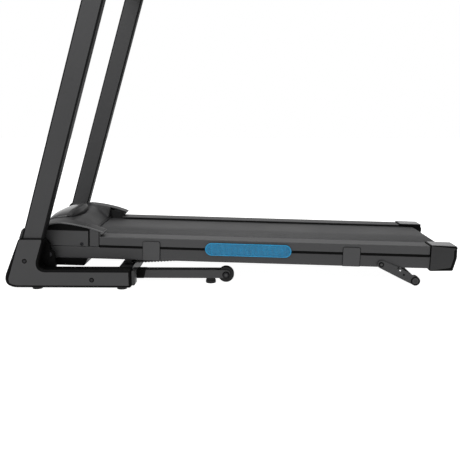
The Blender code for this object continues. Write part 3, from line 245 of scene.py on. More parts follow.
def makeBeltMaterial():
    # PVC running belt: a pressed diamond texture dulls it; its real pitch of 2 mm is drawn at 5 mm
    material, shader, place, relief = grained("pressedPvcBelt", {
        "hex": "#282829", "hexLow": "#232324", "rough": 0.62, "ior": 1.52, "grainMm": 1.5, "relief": 0.35,
        "driftMm": 200})
    bandsPerMetre = 0.314 / 0.005  # a wave texture of scale 1 repeats every 0.314 m
    waves = []
    for turn in (math.radians(35), math.radians(-35)):
        turned = addNode(material, "ShaderNodeMapping", {"Rotation": (0, 0, turn)}, {"Vector": place})
        waves.append(addNode(material, "ShaderNodeTexWave", {"Scale": bandsPerMetre, "Distortion": 0.0},
                             {"Vector": turned.outputs[0]}))
    both = addNode(material, "ShaderNodeMath", {"operation": "MULTIPLY"},
                   {0: waves[0].outputs["Fac"], 1: waves[1].outputs["Fac"]})
    diamonds = addNode(material, "ShaderNodeBump", {"Strength": 0.35, "Distance": 0.0006},
                       {"Height": both.outputs[0], "Normal": relief.outputs["Normal"]})
    material.node_tree.links.new(diamonds.outputs["Normal"], shader.inputs["Normal"])
    return material


pressedPvcBelt = makeBeltMaterial()
print("materials made")


def shade(item, material, angleDegrees=32):
    # one finish over the whole piece, smooth except across real corners
    item.data.materials.clear()
    item.data.materials.append(material)
    item.data.polygons.foreach_set("use_smooth", [True] * len(item.data.polygons))
    item.data.polygons.foreach_set("material_index", [0] * len(item.data.polygons))
    if "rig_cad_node" not in item:
        item.data.set_sharp_from_angle(angle=math.radians(angleDegrees))


def roundEdges(item, widthMm, segments=3, angleDegrees=38):
    # the small radius that every moulded or folded edge has
    edges = item.modifiers.new("edges", "BEVEL")
    edges.width = widthMm / 1000
    edges.segments = segments
    edges.limit_method = "ANGLE"
    edges.angle_limit = math.radians(angleDegrees)
    even = item.modifiers.new("flat faces stay flat", "WEIGHTED_NORMAL")
    even.keep_sharp = True
    return edges


def finishNode(name, material, roundMm=0.0):
    # a CAD node keeps its shape: its triangles are joined into clean faces before the edges are rounded
    item = nodes[name]
    shade(item, material)
    item.modifiers.new("joined", "WELD").merge_threshold = 0.00002
    if roundMm:
        flat = item.modifiers.new("clean", "DECIMATE")
        flat.decimate_type = "DISSOLVE"
        flat.angle_limit = math.radians(1.0)
        roundEdges(item, roundMm)
    return item


def addPiece(name, body, material, shape, roundMm=0.0, standsFor=(), angleDegrees=32):
    # shape: (vertices, faces) in metres, in the shared frame
    mesh = bpy.data.meshes.new(name)
    mesh.from_pydata([tuple(v) for v in shape[0]], [], [tuple(f) for f in shape[1]])
    mesh.validate()
    whole = bmesh.new()
    whole.from_mesh(mesh)
    bmesh.ops.remove_doubles(whole, verts=whole.verts, dist=0.000001)
    bmesh.ops.recalc_face_normals(whole, faces=whole.faces)
    whole.to_mesh(mesh)
    whole.free()
    item = bpy.data.objects.new(name, mesh)
    bpy.context.scene.collection.objects.link(item)
    shade(item, material, angleDegrees)
    if roundMm:
        roundEdges(item, roundMm)
    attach(item, body)
    if standsFor:
        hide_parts(*standsFor)
    return item


# the CAD nodes whose shape is already right: name, finish, edge radius in millimetres
keptNodes = [
    ("base_frame", powderCoatedSteel, 1.6), ("deck_side_tube_left", powderCoatedSteel, 2.5),
    ("deck_side_tube_right", powderCoatedSteel, 2.5), ("deck_cross_tube_1", powderCoatedSteel, 1.5),
    ("deck_cross_tube_2", powderCoatedSteel, 1.5), ("deck_cross_tube_3", powderCoatedSteel, 1.5),
    ("running_board", phenolicBoard, 0.8), ("running_belt", pressedPvcBelt, 0.0),
    ("foot_rail_left", extrudedPvc, 2.0), ("foot_rail_right", extrudedPvc, 2.0),
    ("front_roller", platedSteel, 0.0), ("rear_roller", platedSteel, 0.0),
    ("motor", powderCoatedSteel, 1.0), ("motor_rotor", platedSteel, 0.6),
    # the belly pan under the deck takes the near-black finish: painted shade of the deck above it
    ("drive_belt", mouldedRubber, 0.3), ("belly_pan", nearBlackAbsAndPaintedShade, 1.2), ("control_board", solderMask, 0.6),
    ("mains_switch", darkAbs, 0.5), ("console", texturedAbs, 0.2),
    ("incline_foot", powderCoatedSteel, 0.8), ("foot_roller_left", mouldedRubber, 1.0),
    ("foot_roller_right", mouldedRubber, 1.0), ("strut_cylinder", postShadeAndStrutCoat, 0.5),
    ("strut_rod", chromedSteel, 0.2), ("key_slower", greyAbs, 0.6), ("key_start_stop", redAbs, 0.6),
    ("key_faster", greyAbs, 0.6), ("safety_key", redAbs, 0.8), ("display", smokedAcrylic, 0.6),
]
for name, finish, edge in keptNodes:
    finishNode(name, finish, edge)
for name in nodes:
    if name.startswith("deck_cushion"):
        finishNode(name, mouldedRubber, 0.5)
    if name.startswith("levelling_foot"):
        finishNode(name, mouldedRubber, 0.8)
    if name.startswith("pivot_bolt"):
        finishNode(name, blackOxide, 0.4)
print("carried-over nodes finished")


# the deck leans: its own axes come from the hinge it folds on and the line between its two rollers
hinge = next(joint for joint in frame["joints"] if joint["name"] == "deck_fold")
pivot = Vector(hinge["pos_m"])


def middle(name):
    low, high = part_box(name)
    return (Vector(low) + Vector(high)) / 2


axles = middle("rear_roller") - middle("front_roller")
deckTilt = math.atan2(-axles.z, axles.x)


def onDeck(x, y, z):
    # deck axes: x back from the hinge, z up from it, square to the running surface
    return Vector((pivot.x + x * math.cos(deckTilt) + z * math.sin(deckTilt), y,
                   pivot.z - x * math.sin(deckTilt) + z * math.cos(deckTilt)))


def inDeck(point):
    dx, dz = point[0] - pivot.x, point[2] - pivot.z
    return Vector((dx * math.cos(deckTilt) - dz * math.sin(deckTilt), point[1],
                   dx * math.sin(deckTilt) + dz * math.cos(deckTilt)))


def deckX(x):
    # deck x of a world x at the hinge's height
    return inDeck((x, 0.0, pivot.z)).x


def plain(x, y, z):
    return Vector((x, y, z))


sides = (("left", -1), ("right", 1))


def faceY(name, side):
    # y of a CAD node's outer face, then of its inner face
    low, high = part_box(name)
    return (low[1], high[1]) if side < 0 else (high[1], low[1])


def roundedOutline(corners, steps=6):
    # corners: (x, z, radius); each becomes an arc
    points = []
    for index, (x, z, radius) in enumerate(corners):
        here = Vector((x, z))
        before = Vector(corners[index - 1][:2]) - here
        after = Vector(corners[(index + 1) % len(corners)][:2]) - here
        if radius <= 0:
            points.append((x, z))
            continue
        halfAngle = before.angle(after) / 2
        reach = min(radius / math.tan(halfAngle), before.length * 0.49, after.length * 0.49)
        start, end = here + before.normalized() * reach, here + after.normalized() * reach
        for step in range(steps + 1):
            t = step / steps
            bend = start.lerp(here, t).lerp(here.lerp(end, t), t)
            points.append((bend.x, bend.y))
    return points


def extruded(outline, oneY, otherY, place=plain):
    count = len(outline)
    vertices = [place(x, y, z) for y in sorted((oneY, otherY)) for x, z in outline]
    faces = [(i, (i + 1) % count, count + (i + 1) % count, count + i) for i in range(count)]
    return vertices, faces + [tuple(range(count)), tuple(range(2 * count - 1, count - 1, -1))]


def sheetShape(rows, columns, place):
    vertices = [place(r, c) for r in rows for c in columns]
    wide = len(columns)
    faces = []
    for i in range(len(rows) - 1):
        for j in range(wide - 1):
            faces.append((i * wide + j, i * wide + j + 1, (i + 1) * wide + j + 1, (i + 1) * wide + j))
    return vertices, faces


def turned(profile, centre, axis, steps=40):
    # profile: (distance along the axis, radius) from end to end
    axis = Vector(axis).normalized()
    side = axis.orthogonal().normalized()
    up = axis.cross(side)
    vertices, rings = [], []
    for along, radius in profile:
        middlePoint = Vector(centre) + axis * along
        if radius < 0.00001:
            rings.append([len(vertices)] * steps)
            vertices.append(middlePoint)
            continue
        rings.append(list(range(len(vertices), len(vertices) + steps)))
        for step in range(steps):
            turn = 2 * math.pi * step / steps
            vertices.append(middlePoint + side * math.cos(turn) * radius + up * math.sin(turn) * radius)
    faces = []
    for lower, upper in zip(rings, rings[1:]):
        for step in range(steps):
            ring = [lower[step], lower[(step + 1) % steps], upper[(step + 1) % steps], upper[step]]
            unique = list(dict.fromkeys(ring))
            if len(unique) > 2:
                faces.append(unique)
    return vertices, faces


def joinedShapes(*shapes):
    vertices, faces = [], []
    for points, sides in shapes:
        offset = len(vertices)
        vertices += list(points)
        faces += [tuple(i + offset for i in side) for side in sides]
    return vertices, faces


def thicken(item, wallMm):
    wall = item.modifiers.new("wall", "SOLIDIFY")
    wall.thickness = wallMm / 1000
    wall.offset = -1
    return item


def socketScrew(centre, axis, radius):
    # a domed screw head in its round recess, with a hexagon socket sunk in it
    head = [(-0.0005, 0.0), (-0.0005, 0.98), (0.0012, 0.98), (0.0020, 0.85), (0.0023, 0.60)]
    socket = [(0.0023, 0.60), (0.0022, 0.46), (0.0004, 0.42), (0.0004, 0.0)]
    return joinedShapes(*(turned([(along, share * radius) for along, share in profile], centre, axis, steps)
                          for profile, steps in ((head, 28), (socket, 6))))


def curveAt(points, x):
    # height at x on a smooth run through (x, z) points
    if x <= points[0][0]:
        return points[0][1]
    for index in range(len(points) - 1):
        (x0, z0), (x1, z1) = points[index], points[index + 1]
        if x <= x1:
            before = points[max(index - 1, 0)]
            after = points[min(index + 2, len(points) - 1)]
            slope0 = (z1 - before[1]) / (x1 - before[0])
            slope1 = (after[1] - z0) / (after[0] - x0)
            t, span = (x - x0) / (x1 - x0), x1 - x0
            return ((2 * t ** 3 - 3 * t ** 2 + 1) * z0 + (t ** 3 - 2 * t ** 2 + t) * span * slope0
                    + (3 * t ** 2 - 2 * t ** 3) * z1 + (t ** 3 - t ** 2) * span * slope1)
    return points[-1][1]


hood = {  # metres in deck axes, each run as (x, z)
    "saddle": [(-0.072, 0.060), (-0.063, 0.083), (-0.048, 0.097), (-0.032, 0.1025), (-0.009, 0.1065),
               (0.037, 0.1085), (0.062, 0.101), (0.088, 0.080), (0.1165, 0.0590)],
    "wing": [(-0.072, 0.074), (-0.060, 0.093), (-0.040, 0.1025), (-0.011, 0.1080), (0.028, 0.1110),
             (0.081, 0.1058), (0.134, 0.0955), (0.160, 0.0878), (0.182, 0.0805)],
    "bossRise": [(-0.0715, 0.003), (-0.060, 0.008), (-0.032, 0.0145), (-0.009, 0.0195), (0.020, 0.0245),
                 (0.034, 0.0255), (0.0415, 0.0220), (0.0455, 0.0110), (0.0475, 0.000)],
    "bossFront": -0.0700,
    "bossRear": 0.057,  # the boss's rear edge on the centre line, and how far its ends curve forward
    "bossCurve": 0.017,
    "bossHalfWidth": 0.134,
    "grooveDeep": 0.0022,  # the groove round the boss
    "flatHalfWidth": 0.168,  # where the saddle starts to rise into the wings
    "wingY": 0.208,  # inner edge of each wing behind the slit
    "wingCrown": 0.0025,  # how far the wings fall to their lips
    "edgeY": 0.2688,
    "frontX": -0.072,
    "slitX": 0.1165,
    "panelX": 0.1285,  # rear end of the side panel
    "tipX": 0.1815,
    "bottomZ": 0.0262,
    "shadeBandLowZ": 0.0810,  # the side panel's face starts below this height; above it lies a band of painted shade
    "wallMm": 3.0,
    "cornerSweep": 0.040,
}


def hoodTop(x, y):
    outward = min(max(abs(y) - hood["flatHalfWidth"], 0) / (hood["wingY"] - hood["flatHalfWidth"]), 1.0)
    share = outward * outward * (3 - 2 * outward)
    return curveAt(hood["saddle"], x) * (1 - share) + curveAt(hood["wing"], x) * share


def hoodSweep(x, y):
    # the front corners sweep back, less and less towards the rear
    share = max(0.0, 1 - (x - hood["frontX"]) / 0.10)
    return hood["cornerSweep"] * (y / hood["edgeY"]) ** 2 * share


def bossRearAt(y):
    return hood["bossRear"] - hood["bossCurve"] * (y / hood["bossHalfWidth"]) ** 2


def hoodSkin(x, y):
    # a shallow groove runs round the raised boss, and the wings fall a little to their lips
    flatX, wing, edge = 0.020, hood["wingY"], hood["edgeY"]
    lengthwise = max(0.0, (x - flatX) / (bossRearAt(y) - flatX))
    reach = (abs(y) / hood["bossHalfWidth"]) ** 2.5 + lengthwise ** 2.5
    groove = hood["grooveDeep"] * math.exp(-((reach - 1.06) / 0.07) ** 2) if x > -0.066 else 0.0
    crown = hood["wingCrown"] * max(0.0, (abs(y) - wing) / (edge - wing)) ** 2
    return onDeck(x + hoodSweep(x, y), y, hoodTop(x, y) - groove - crown)


def hoodPiece(name, material, shape, angleDegrees=32, roundMm=0.0, standsFor=()):
    return addPiece(name, "deck", material, shape, roundMm, standsFor, angleDegrees)


def makeHoodTop():
    front, slit, edge = hood["frontX"], hood["slitX"], hood["edgeY"]
    xs = [front + (slit - front) * (i / 40) ** 1.15 for i in range(41)]
    ys = [edge * j / 44 for j in range(-44, 45)]
    saddle = hoodPiece("hood_saddle", satinAbs, sheetShape(xs, ys, hoodSkin), 60, standsFor=("motor_hood",))
    thicken(saddle, hood["wallMm"])

    def skirt(share, y):
        # down from the saddle's front row, deeper in the middle
        low = -0.018 if abs(y) <= hood["wingY"] else hood["bottomZ"]
        return onDeck(front + hoodSweep(front, y), y, hoodTop(front, y) * (1 - share) + low * share)

    thicken(hoodPiece("hood_front", satinAbs, sheetShape([0, 0.35, 0.7, 1.0], ys, skirt), 60), hood["wallMm"])
    # raised boss: a pillow that stands clear of the groove; u runs along it as if its rear edge were straight
    half, bossFront, last = hood["bossHalfWidth"], hood["bossFront"], hood["bossRise"][-1][0]
    us = [bossFront + (last - bossFront) * i / 30 for i in range(31)]
    vs = [half * math.sin(math.pi / 2 * j / 22) for j in range(-22, 23)]

    def bossSkin(u, y):
        across = math.sqrt(max(1 - (abs(y) / half) ** 2.6, 0.0))
        rise = curveAt(hood["bossRise"], u) * across
        foot = -0.0015 if across == 0.0 or u > last - 0.0001 else 0.0
        x = bossFront + (u - bossFront) * (bossRearAt(y) - bossFront) / (last - bossFront)
        return onDeck(x + hoodSweep(x, y), y, hoodTop(x, y) + rise + foot)

    boss = hoodPiece("hood_boss", glossAbs, sheetShape(us, vs, bossSkin), 70)
    boss.data.materials.append(satinAbs)  # painted shade: its rear wall, turned away from the lights, takes the saddle's darker, duller finish
    for face in boss.data.polygons:
        face.material_index = 1 if face.index // (len(vs) - 1) >= 24 else 0
    thicken(boss, 2.0)


def makeHoodSide(word, side):
    front, slit, tip, wing, edge = (hood[key] for key in ("frontX", "slitX", "tipX", "wingY", "edgeY"))
    bottom, recess = hood["bottomZ"], hood["shadeBandLowZ"]
    skin = side * (edge - 0.0018)  # the side panel's outer face
    # wing behind the slit
    xs = [slit + (tip - slit) * i / 14 for i in range(15)]
    ys = [side * (wing + (edge - wing) * j / 8) for j in range(9)]
    thicken(hoodPiece(f"hood_wing_{word}", satinAbs, sheetShape(xs, ys, hoodSkin), 60), hood["wallMm"])
    # lip: a rounded edge that stands proud of the side panel, pale with a painted highlight; its section is
    # (out, up)
    section = [(-0.003, 0.0015), (0.0008, 0.0016), (0.0024, 0.0006), (0.0028, -0.0010), (0.0024, -0.0026),
               (0.0008, -0.0034), (-0.003, -0.0032)]
    xs = [front + 0.004 + (tip - front - 0.004) * i / 60 for i in range(61)]

    def lip(x, k):
        out, up = section[k]
        return onDeck(x + hoodSweep(x, edge), side * (edge + out), hoodTop(x, edge) - 0.0024 + up)

    thicken(hoodPiece(f"hood_lip_{word}", lipHighlightAbs, sheetShape(xs, range(len(section)), lip), 70), 0.8)
    # the wing's tip is in the same pale painted-highlight colour as the lip
    tipZ = curveAt(hood["wing"], tip)
    nose = roundedOutline([(tip - 0.006, tipZ - 0.0002, 0.001), (tip + 0.0022, tipZ - 0.0022, 0.003),
                           (tip - 0.0015, tipZ - 0.0095, 0.002), (tip - 0.009, tipZ - 0.0075, 0.001)])
    hoodPiece(f"hood_tip_{word}", lipHighlightAbs, extruded(nose, side * wing, side * (edge + 0.0026), onDeck),
              roundMm=0.8)
    # side panel under the lip, and a near-black band of painted shade along its top, under the lip
    xs = [front + (hood["panelX"] - front) * i / 40 for i in range(41)]
    contour = [(x + hoodSweep(x, edge), hoodTop(x, edge) - 0.0052) for x in xs]
    start, end = contour[0][0] + 0.002, contour[-1][0]
    panel = [(start, bottom), (start, contour[0][1])] + contour[3:] + [(end, bottom)]
    hoodPiece(f"hood_panel_{word}", hoodPanelAbs, extruded(panel, skin, skin - side * 0.004, onDeck), 30, 0.8)
    # painted shade: the band from this height up to the lip is near black; the joint beside it is a real dark
    # seam
    shadow = [(start, recess)] + contour[3:] + [(end, recess)]
    joint = [(0.1280, bottom), (0.1280, 0.0860), (0.1345, 0.0850), (0.1345, bottom)]
    hoodPiece(f"hood_shade_band_{word}", nearBlackAbsAndPaintedShade, joinedShapes(
        extruded(shadow, skin + side * 0.0005, skin - side * 0.001, onDeck),
        extruded(joint, skin - side * 0.0012, skin - side * 0.003, onDeck)))
    # tail piece that meets the rail, and the dark shelf behind it
    rail = deckX(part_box("foot_rail_left")[0][0])
    xs = [0.1340 + (rail - 0.0030 - 0.1340) * i / 8 for i in range(9)]
    tail = [(xs[0], bottom)] + [(x, hoodTop(x, edge) - 0.0055) for x in xs] + [(xs[-1], bottom)]
    hoodPiece(f"hood_tail_{word}", hoodPanelAbs, extruded(tail, side * (wing + 0.001), skin, onDeck),
              roundMm=0.9)
    shelf = [(0.100, 0.0520), (0.100, hoodTop(0.100, edge) - 0.010), (0.176, hoodTop(0.176, edge) - 0.0060),
             (0.170, 0.0635), (rail + 0.001, 0.0635), (rail - 0.0005, 0.0520)]
    shelfShape = extruded(shelf, side * (wing + 0.0005), side * (edge - 0.006), onDeck)
    hoodPiece(f"hood_shelf_{word}", darkAbs, shelfShape, roundMm=0.8)
    screw = socketScrew(onDeck(0.106, side * (edge - 0.0020), 0.0338), (0, side, 0), 0.0062)
    hoodPiece(f"hood_screw_{word}", blackOxide, screw)


makeHoodTop()
for word, side in sides:
    makeHoodSide(word, side)
# dark seal along the slit where the belt runs in
seal = roundedOutline([(hood["slitX"] - 0.004, 0.0600, 0.001), (hood["slitX"] + 0.0022, 0.0592, 0.001),
                       (hood["slitX"] + 0.0022, 0.0556, 0.001), (hood["slitX"] - 0.004, 0.0556, 0.001)])
hoodPiece("hood_slit_seal", darkAbs, extruded(seal, -hood["wingY"], hood["wingY"], onDeck), roundMm=0.4)
print("hood made")


boot = {
    "toeMm": 16.0,  # the rounded rim round the toe, near black with painted shade
    "edgeMm": 9.0,  # along the floor
    "armMm": 9.5,  # along the top of the arm
    "heelMm": 4.0,  # beside the post
    "toeDegrees": 66.5,  # the lean of the toe
    "toeRadius": 0.040,
    "armAboveCap": 0.006,  # the arm's top over the end cap's
    "screws": ((0.071, 0.102), (0.300, 0.036)),  # metres behind the toe, and above the floor
    "screwRadius": 0.0080,
    "capRoundMm": 3.0,
}

post = {
    "depth": 0.0725,  # level depth of the tube
    "cornerMm": 5.5,
    "collarHigh": 0.034,
}


def rollOver(outline, outer, inner, widthAt, place=plain, steps=6):
    # a moulding with a quarter-round rim on its outer face; widthAt(x, z) is the rim's width there
    count = len(outline)
    area = sum(outline[i - 1][0] * outline[i][1] - outline[i][0] * outline[i - 1][1] for i in range(count))
    turn = 1 if area > 0 else -1
    inward = []
    for i in range(count):
        before, after = Vector(outline[i - 1]), Vector(outline[(i + 1) % count])
        along = (after - before).normalized()
        inward.append((-along.y * turn, along.x * turn))
    side = 1 if outer > inner else -1
    rings = [[(x, inner, z) for x, z in outline]]
    for step in range(steps + 1):
        angle = math.pi / 2 * step / steps
        ring = []
        for (x, z), (nx, nz) in zip(outline, inward):
            width = widthAt(x, z)
            shift = width * (1 - math.cos(angle))
            ring.append((x + nx * shift, outer - side * width * (1 - math.sin(angle)), z + nz * shift))
        rings.append(ring)
    vertices = [place(*point) for ring in rings for point in ring]
    faces = [tuple(range(count)), tuple(range(len(vertices) - count, len(vertices)))]
    for k in range(len(rings) - 1):
        for i in range(count):
            j = (i + 1) % count
            faces.append((k * count + i, k * count + j, (k + 1) * count + j, (k + 1) * count + i))
    return vertices, faces


def paintRimShade(item):
    # painted shade: everything but the flat outer face takes the near-black polished finish, so the rounded
    # rim reads as turned away from the light
    item.data.materials.append(nearBlackAbsAndPaintedShade)
    for face in item.data.polygons:
        face.material_index = 1 if abs(face.normal.y) < 0.995 else 0
    item.modifiers.new("flat faces stay flat", "WEIGHTED_NORMAL").keep_sharp = True


def foldedEdge(item, material, widthMm, segments):
    # rounded edges in a finish of their own
    item.data.materials.append(material)
    roundEdges(item, widthMm, segments, 60).material = 1


def ringScrew(name, centre, axis, radius):
    # recess ring and domed head
    ring = turned([(-0.002, radius * 1.05), (0.0003, radius * 1.05), (0.0006, radius * 0.96),
                   (0.0002, radius * 0.66), (-0.002, radius * 0.62)], centre, axis, 36)
    addPiece(name + "_recess", "base", nearBlackAbsAndPaintedShade, ring, angleDegrees=50)
    head = socketScrew(Vector(centre) - Vector(axis) * 0.0012, axis, radius * 0.60)
    addPiece(name, "base", blackOxide, head)


def makeBoot(word, side):
    low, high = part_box(f"boot_{word}")
    capLow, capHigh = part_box(f"boot_end_cap_{word}")
    outer, inner = faceY(f"boot_{word}", side)
    toe, heelEnd, bottom = low[0], high[0], low[2] - 0.003
    seam = high[2] - post["collarHigh"]
    armTop = capHigh[2] + boot["armAboveCap"]
    angle = math.radians(boot["toeDegrees"])
    corner = toe + boot["toeRadius"] - boot["toeRadius"] / math.tan(angle / 2)
    shoulder = corner + (seam - bottom) / math.tan(angle)
    outline = roundedOutline([
        (corner, bottom, boot["toeRadius"]), (heelEnd, bottom, 0.011), (heelEnd, armTop, 0.010),
        (toe + 0.113, armTop, 0.024), (toe + 0.1385, seam, 0.009), (shoulder, seam, 0.014)], 10)

    def rimWidth(x, z):
        # full round the toe, less along the floor and the arm, and narrow under the post
        if x < toe + 0.100 and z < seam - 0.02:
            share = min(max((x - corner - 0.01) / 0.05, 0.0), 1.0) if z < bottom + 0.012 else 0.0
            return (boot["toeMm"] * (1 - share) + boot["edgeMm"] * share) / 1000
        if z > seam - 0.02:
            return boot["heelMm"] / 1000
        share = min(max((z - bottom - 0.020) / (armTop - bottom - 0.032), 0.0), 1.0)
        return (boot["edgeMm"] * (1 - share) + boot["armMm"] * share) / 1000

    # painted shade: the boot's rounded rim is near black, and its flat face keeps the textured finish
    paintRimShade(addPiece(f"boot_cover_{word}", "base", texturedAbs, rollOver(outline, outer, inner, rimWidth),
                     standsFor=(f"boot_{word}",), angleDegrees=50))
    for index, (x, z) in enumerate(boot["screws"]):
        ringScrew(f"boot_screw_{word}_{index + 1}", (toe + x, outer, z), (0, side, 0), boot["screwRadius"])
    start = capLow[0] + 0.0004
    cap = roundedOutline([(start, capLow[2], 0.001), (capHigh[0], capLow[2], 0.007),
                          (capHigh[0], capHigh[2], 0.007), (start, capHigh[2], 0.001)], 6)
    addPiece(f"boot_tail_cap_{word}", "base", darkAbs, extruded(cap, capLow[1], capHigh[1]),
             boot["capRoundMm"], (f"boot_end_cap_{word}",))


def makePost(word, side):
    low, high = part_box(f"upright_{word}")
    slope = (high[0] - low[0] - post["depth"]) / (high[2] - low[2])

    def postPoint(share, y, z, out=0.0):
        # share runs from 0 at the leaning post's front face to 1 at its rear face
        return Vector((low[0] + post["depth"] * share + slope * (z - low[2]) + out, y, z))

    levels = [low[2] + (high[2] - low[2]) * i / 24 for i in range(25)]
    corners = ((0, low[1]), (1, low[1]), (1, high[1]), (0, high[1]))
    vertices = [postPoint(share, y, z) for z in levels for share, y in corners]
    faces = []
    for level in range(len(levels) - 1):
        for k in range(4):
            here, after = level * 4 + k, level * 4 + (k + 1) % 4
            faces.append((here, after, after + 4, here + 4))
    faces += [(3, 2, 1, 0), tuple(len(vertices) - 4 + k for k in range(4))]
    tube = addPiece(f"post_{word}", "base", powderCoatedSteel, (vertices, faces),
                    standsFor=(f"upright_{word}",), angleDegrees=25)
    # painted shade: faces that look forward or back, and the rounded corners, take the near-black coat
    tube.data.materials.append(postShadeAndStrutCoat)
    for face in tube.data.polygons:
        face.material_index = 1 if abs(face.normal.x) > 0.6 else 0
    roundEdges(tube, post["cornerMm"], 4).material = 1
    # collar at the front of the post's foot, as (forward of the post, above the seam)
    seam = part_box(f"boot_{word}")[1][2] - post["collarHigh"]
    outer = faceY(f"upright_{word}", side)[0]
    profile = ((-0.0108, -0.003), (-0.0092, 0.026), (-0.0045, 0.0335), (-0.0006, 0.0338), (-0.0006, -0.003))
    collar = [postPoint(0, y, seam + up, out)
              for y in sorted((outer - side * 0.0035, outer - side * 0.0375)) for out, up in profile]
    walls = [(i, (i + 1) % 5, 5 + (i + 1) % 5, 5 + i) for i in range(5)]
    addPiece(f"post_collar_{word}", "base", darkAbs, (collar, walls + [(4, 3, 2, 1, 0), (5, 6, 7, 8, 9)]),
             1.4)


for word, side in sides:
    makeBoot(word, side)
for word, side in sides:
    makePost(word, side)
print("boots and posts made")


rearCap = {
    "top": 0.0655,  # deck heights of its top and bottom
    "bottom": -0.0262,
    "shellWide": 0.0255,
    "edgeMm": 1.6,  # rim width beside the rail, and round the rear
    "rearEdgeMm": 15.0,
    "curlRadius": 0.0262,  # of the shoulder over the belt's turn
}


def makeRearCap(word, side):
    outer, inner = faceY(f"rear_cap_{word}", side)
    front = deckX(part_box(f"foot_rail_{word}")[1][0]) + 0.0012
    back = inDeck((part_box(f"rear_cap_{word}")[1][0], 0.0, pivot.z + 0.02)).x
    top, bottom = rearCap["top"], rearCap["bottom"]
    outline = roundedOutline([
        (front, bottom, 0.004), (back - 0.0105, bottom, 0.007), (back + 0.0010, top - 0.044, 0.040),
        (back, top - 0.014, 0.018), (back - 0.003, top - 0.001, 0.0125), (front, top, 0.0012)], 8)
    seam = outer - side * rearCap["shellWide"]

    def rimWidth(x, z):
        # broad round the rear, thin where the cap meets the rail
        rear = min(max((x - back + 0.045) / 0.030, 0.0), 1.0) * (1.0 if z < top - 0.012 else 0.4)
        return (rearCap["edgeMm"] + (rearCap["rearEdgeMm"] - rearCap["edgeMm"]) * rear) / 1000

    shell = rollOver(outline, outer, seam, rimWidth, onDeck)
    # painted shade: the shell's rounded rim, broad round the rear, is near black
    paintRimShade(addPiece(f"rear_cap_shell_{word}", "deck", capAbs, shell,
                     standsFor=(f"rear_cap_{word}",), angleDegrees=50))
    # inner shoulder that curls down over the belt's turn
    hub = inDeck(middle("rear_roller"))
    curl = rearCap["curlRadius"]
    arc = []
    for step in range(13):
        turn = math.radians(96 - 101 * step / 12)
        arc.append((hub.x + curl * math.cos(turn), hub.z + curl * math.sin(turn)))
    shoulder = [(front, arc[0][1])] + arc + [(back - 0.0040, arc[-1][1]), (back - 0.0030, top - 0.020),
                                             (back - 0.009, top - 0.0012), (front, top - 0.0008)]
    scoop = extruded(shoulder, seam, inner, onDeck)
    roundEdges(addPiece(f"rear_cap_scoop_{word}", "deck", nearBlackAbsAndPaintedShade, scoop), 1.4, 3, 60)
    # raised top pad, in the pale colour of a painted highlight
    pad = roundedOutline([(front + 0.0035, top - 0.004, 0.001), (front + 0.0035, top + 0.0011, 0.002),
                          (back - 0.007, top + 0.0008, 0.012), (back - 0.0030, top - 0.005, 0.003)], 8)
    addPiece(f"rear_cap_pad_{word}", "deck", padHighlightAbs,
             extruded(pad, outer - side * 0.0035, inner + side * 0.004, onDeck), 1.2)
    # dark joint where the cap meets the rail
    joint = [(front - 0.0016, top - 0.0030), (front + 0.0004, top - 0.0030),
             (front + 0.0004, top + 0.0004), (front - 0.0016, top - 0.0006)]
    addPiece(f"rear_cap_joint_{word}", "deck", nearBlackAbsAndPaintedShade, extruded(joint, outer - side * 0.004, inner, onDeck))


cover = {
    "halfLength": 0.152,
    "radius": 0.0225,
    "rimMm": 3.4,
    "ribPitchMm": 4.2,  # the real ribs stand 2.1 mm apart and are drawn at twice that so that they show
    "ribProudMm": 0.55,
}


def makeDamperCover(word, side):
    outer, inner = faceY(f"damper_cover_{word}", side)
    centre = inDeck(middle(f"damper_cover_{word}"))
    radius, straight = cover["radius"], cover["halfLength"] - cover["radius"]
    face = outer - side * 0.0016

    def capsule(grow, count=20):
        points = []
        for end, start in ((straight, -90), (-straight, 90)):
            for step in range(count + 1):
                turn = math.radians(start + 180 * step / count)
                points.append((centre.x + end + (radius + grow) * math.cos(turn),
                               centre.z + (radius + grow) * math.sin(turn)))
        return points

    window = addPiece(f"damper_window_{word}", "deck", tintedPolycarbonate,
                      extruded(capsule(-0.0006), inner, face, onDeck),
                      standsFor=(f"damper_cover_{word}",))
    roundEdges(window, 0.9)
    # raised rim round the window
    loops = (capsule(0.0), capsule(-cover["rimMm"] / 1000))
    count = len(loops[0])
    vertices = [onDeck(x, y, z) for y in (outer - side * 0.0004, face - side * 0.001) for loop in loops
                for x, z in loop]
    faces = []
    for i in range(count):
        j = (i + 1) % count
        faces += [(i, j, count + j, count + i), (2 * count + i, 3 * count + i, 3 * count + j, 2 * count + j),
                  (i, 2 * count + i, 2 * count + j, j), (count + i, count + j, 3 * count + j, 3 * count + i)]
    addPiece(f"damper_rim_{word}", "deck", paleBluePolycarbonate, (vertices, faces), 0.5,
             angleDegrees=40)
    # ribs: upright bars in the straight part, and arcs that follow the round ends
    pitch, proud = cover["ribPitchMm"] / 1000, face + side * cover["ribProudMm"] / 1000
    reach = radius - cover["rimMm"] / 1000 - 0.0006
    wide = pitch * 0.24
    ribs = []
    steps = int(straight * 2 / pitch)
    for index in range(steps + 1):
        x = centre.x - straight + straight * 2 * index / steps
        ribs.append([(x - wide, centre.z - reach), (x + wide, centre.z - reach),
                     (x + wide, centre.z + reach), (x - wide, centre.z + reach)])
    for end in (-1, 1):
        for ring in (1, 2, 3, 4):
            low = reach * ring / 4.4
            arc = []
            for r, order in ((low + pitch * 0.36, range(13)), (low, range(12, -1, -1))):
                for step in order:
                    turn = math.radians(-84 + 168 * step / 12)
                    arc.append((centre.x + end * (straight + r * math.cos(turn)),
                                centre.z + r * math.sin(turn)))
            ribs.append(arc)
    addPiece(f"damper_ribs_{word}", "deck", paleBluePolycarbonate,
             joinedShapes(*(extruded(rib, face, proud, onDeck) for rib in ribs)), 0.35)


clip = {
    "halfWide": 0.030,
    "bottom": -0.0178,  # deck heights
    "top": 0.0500,
}


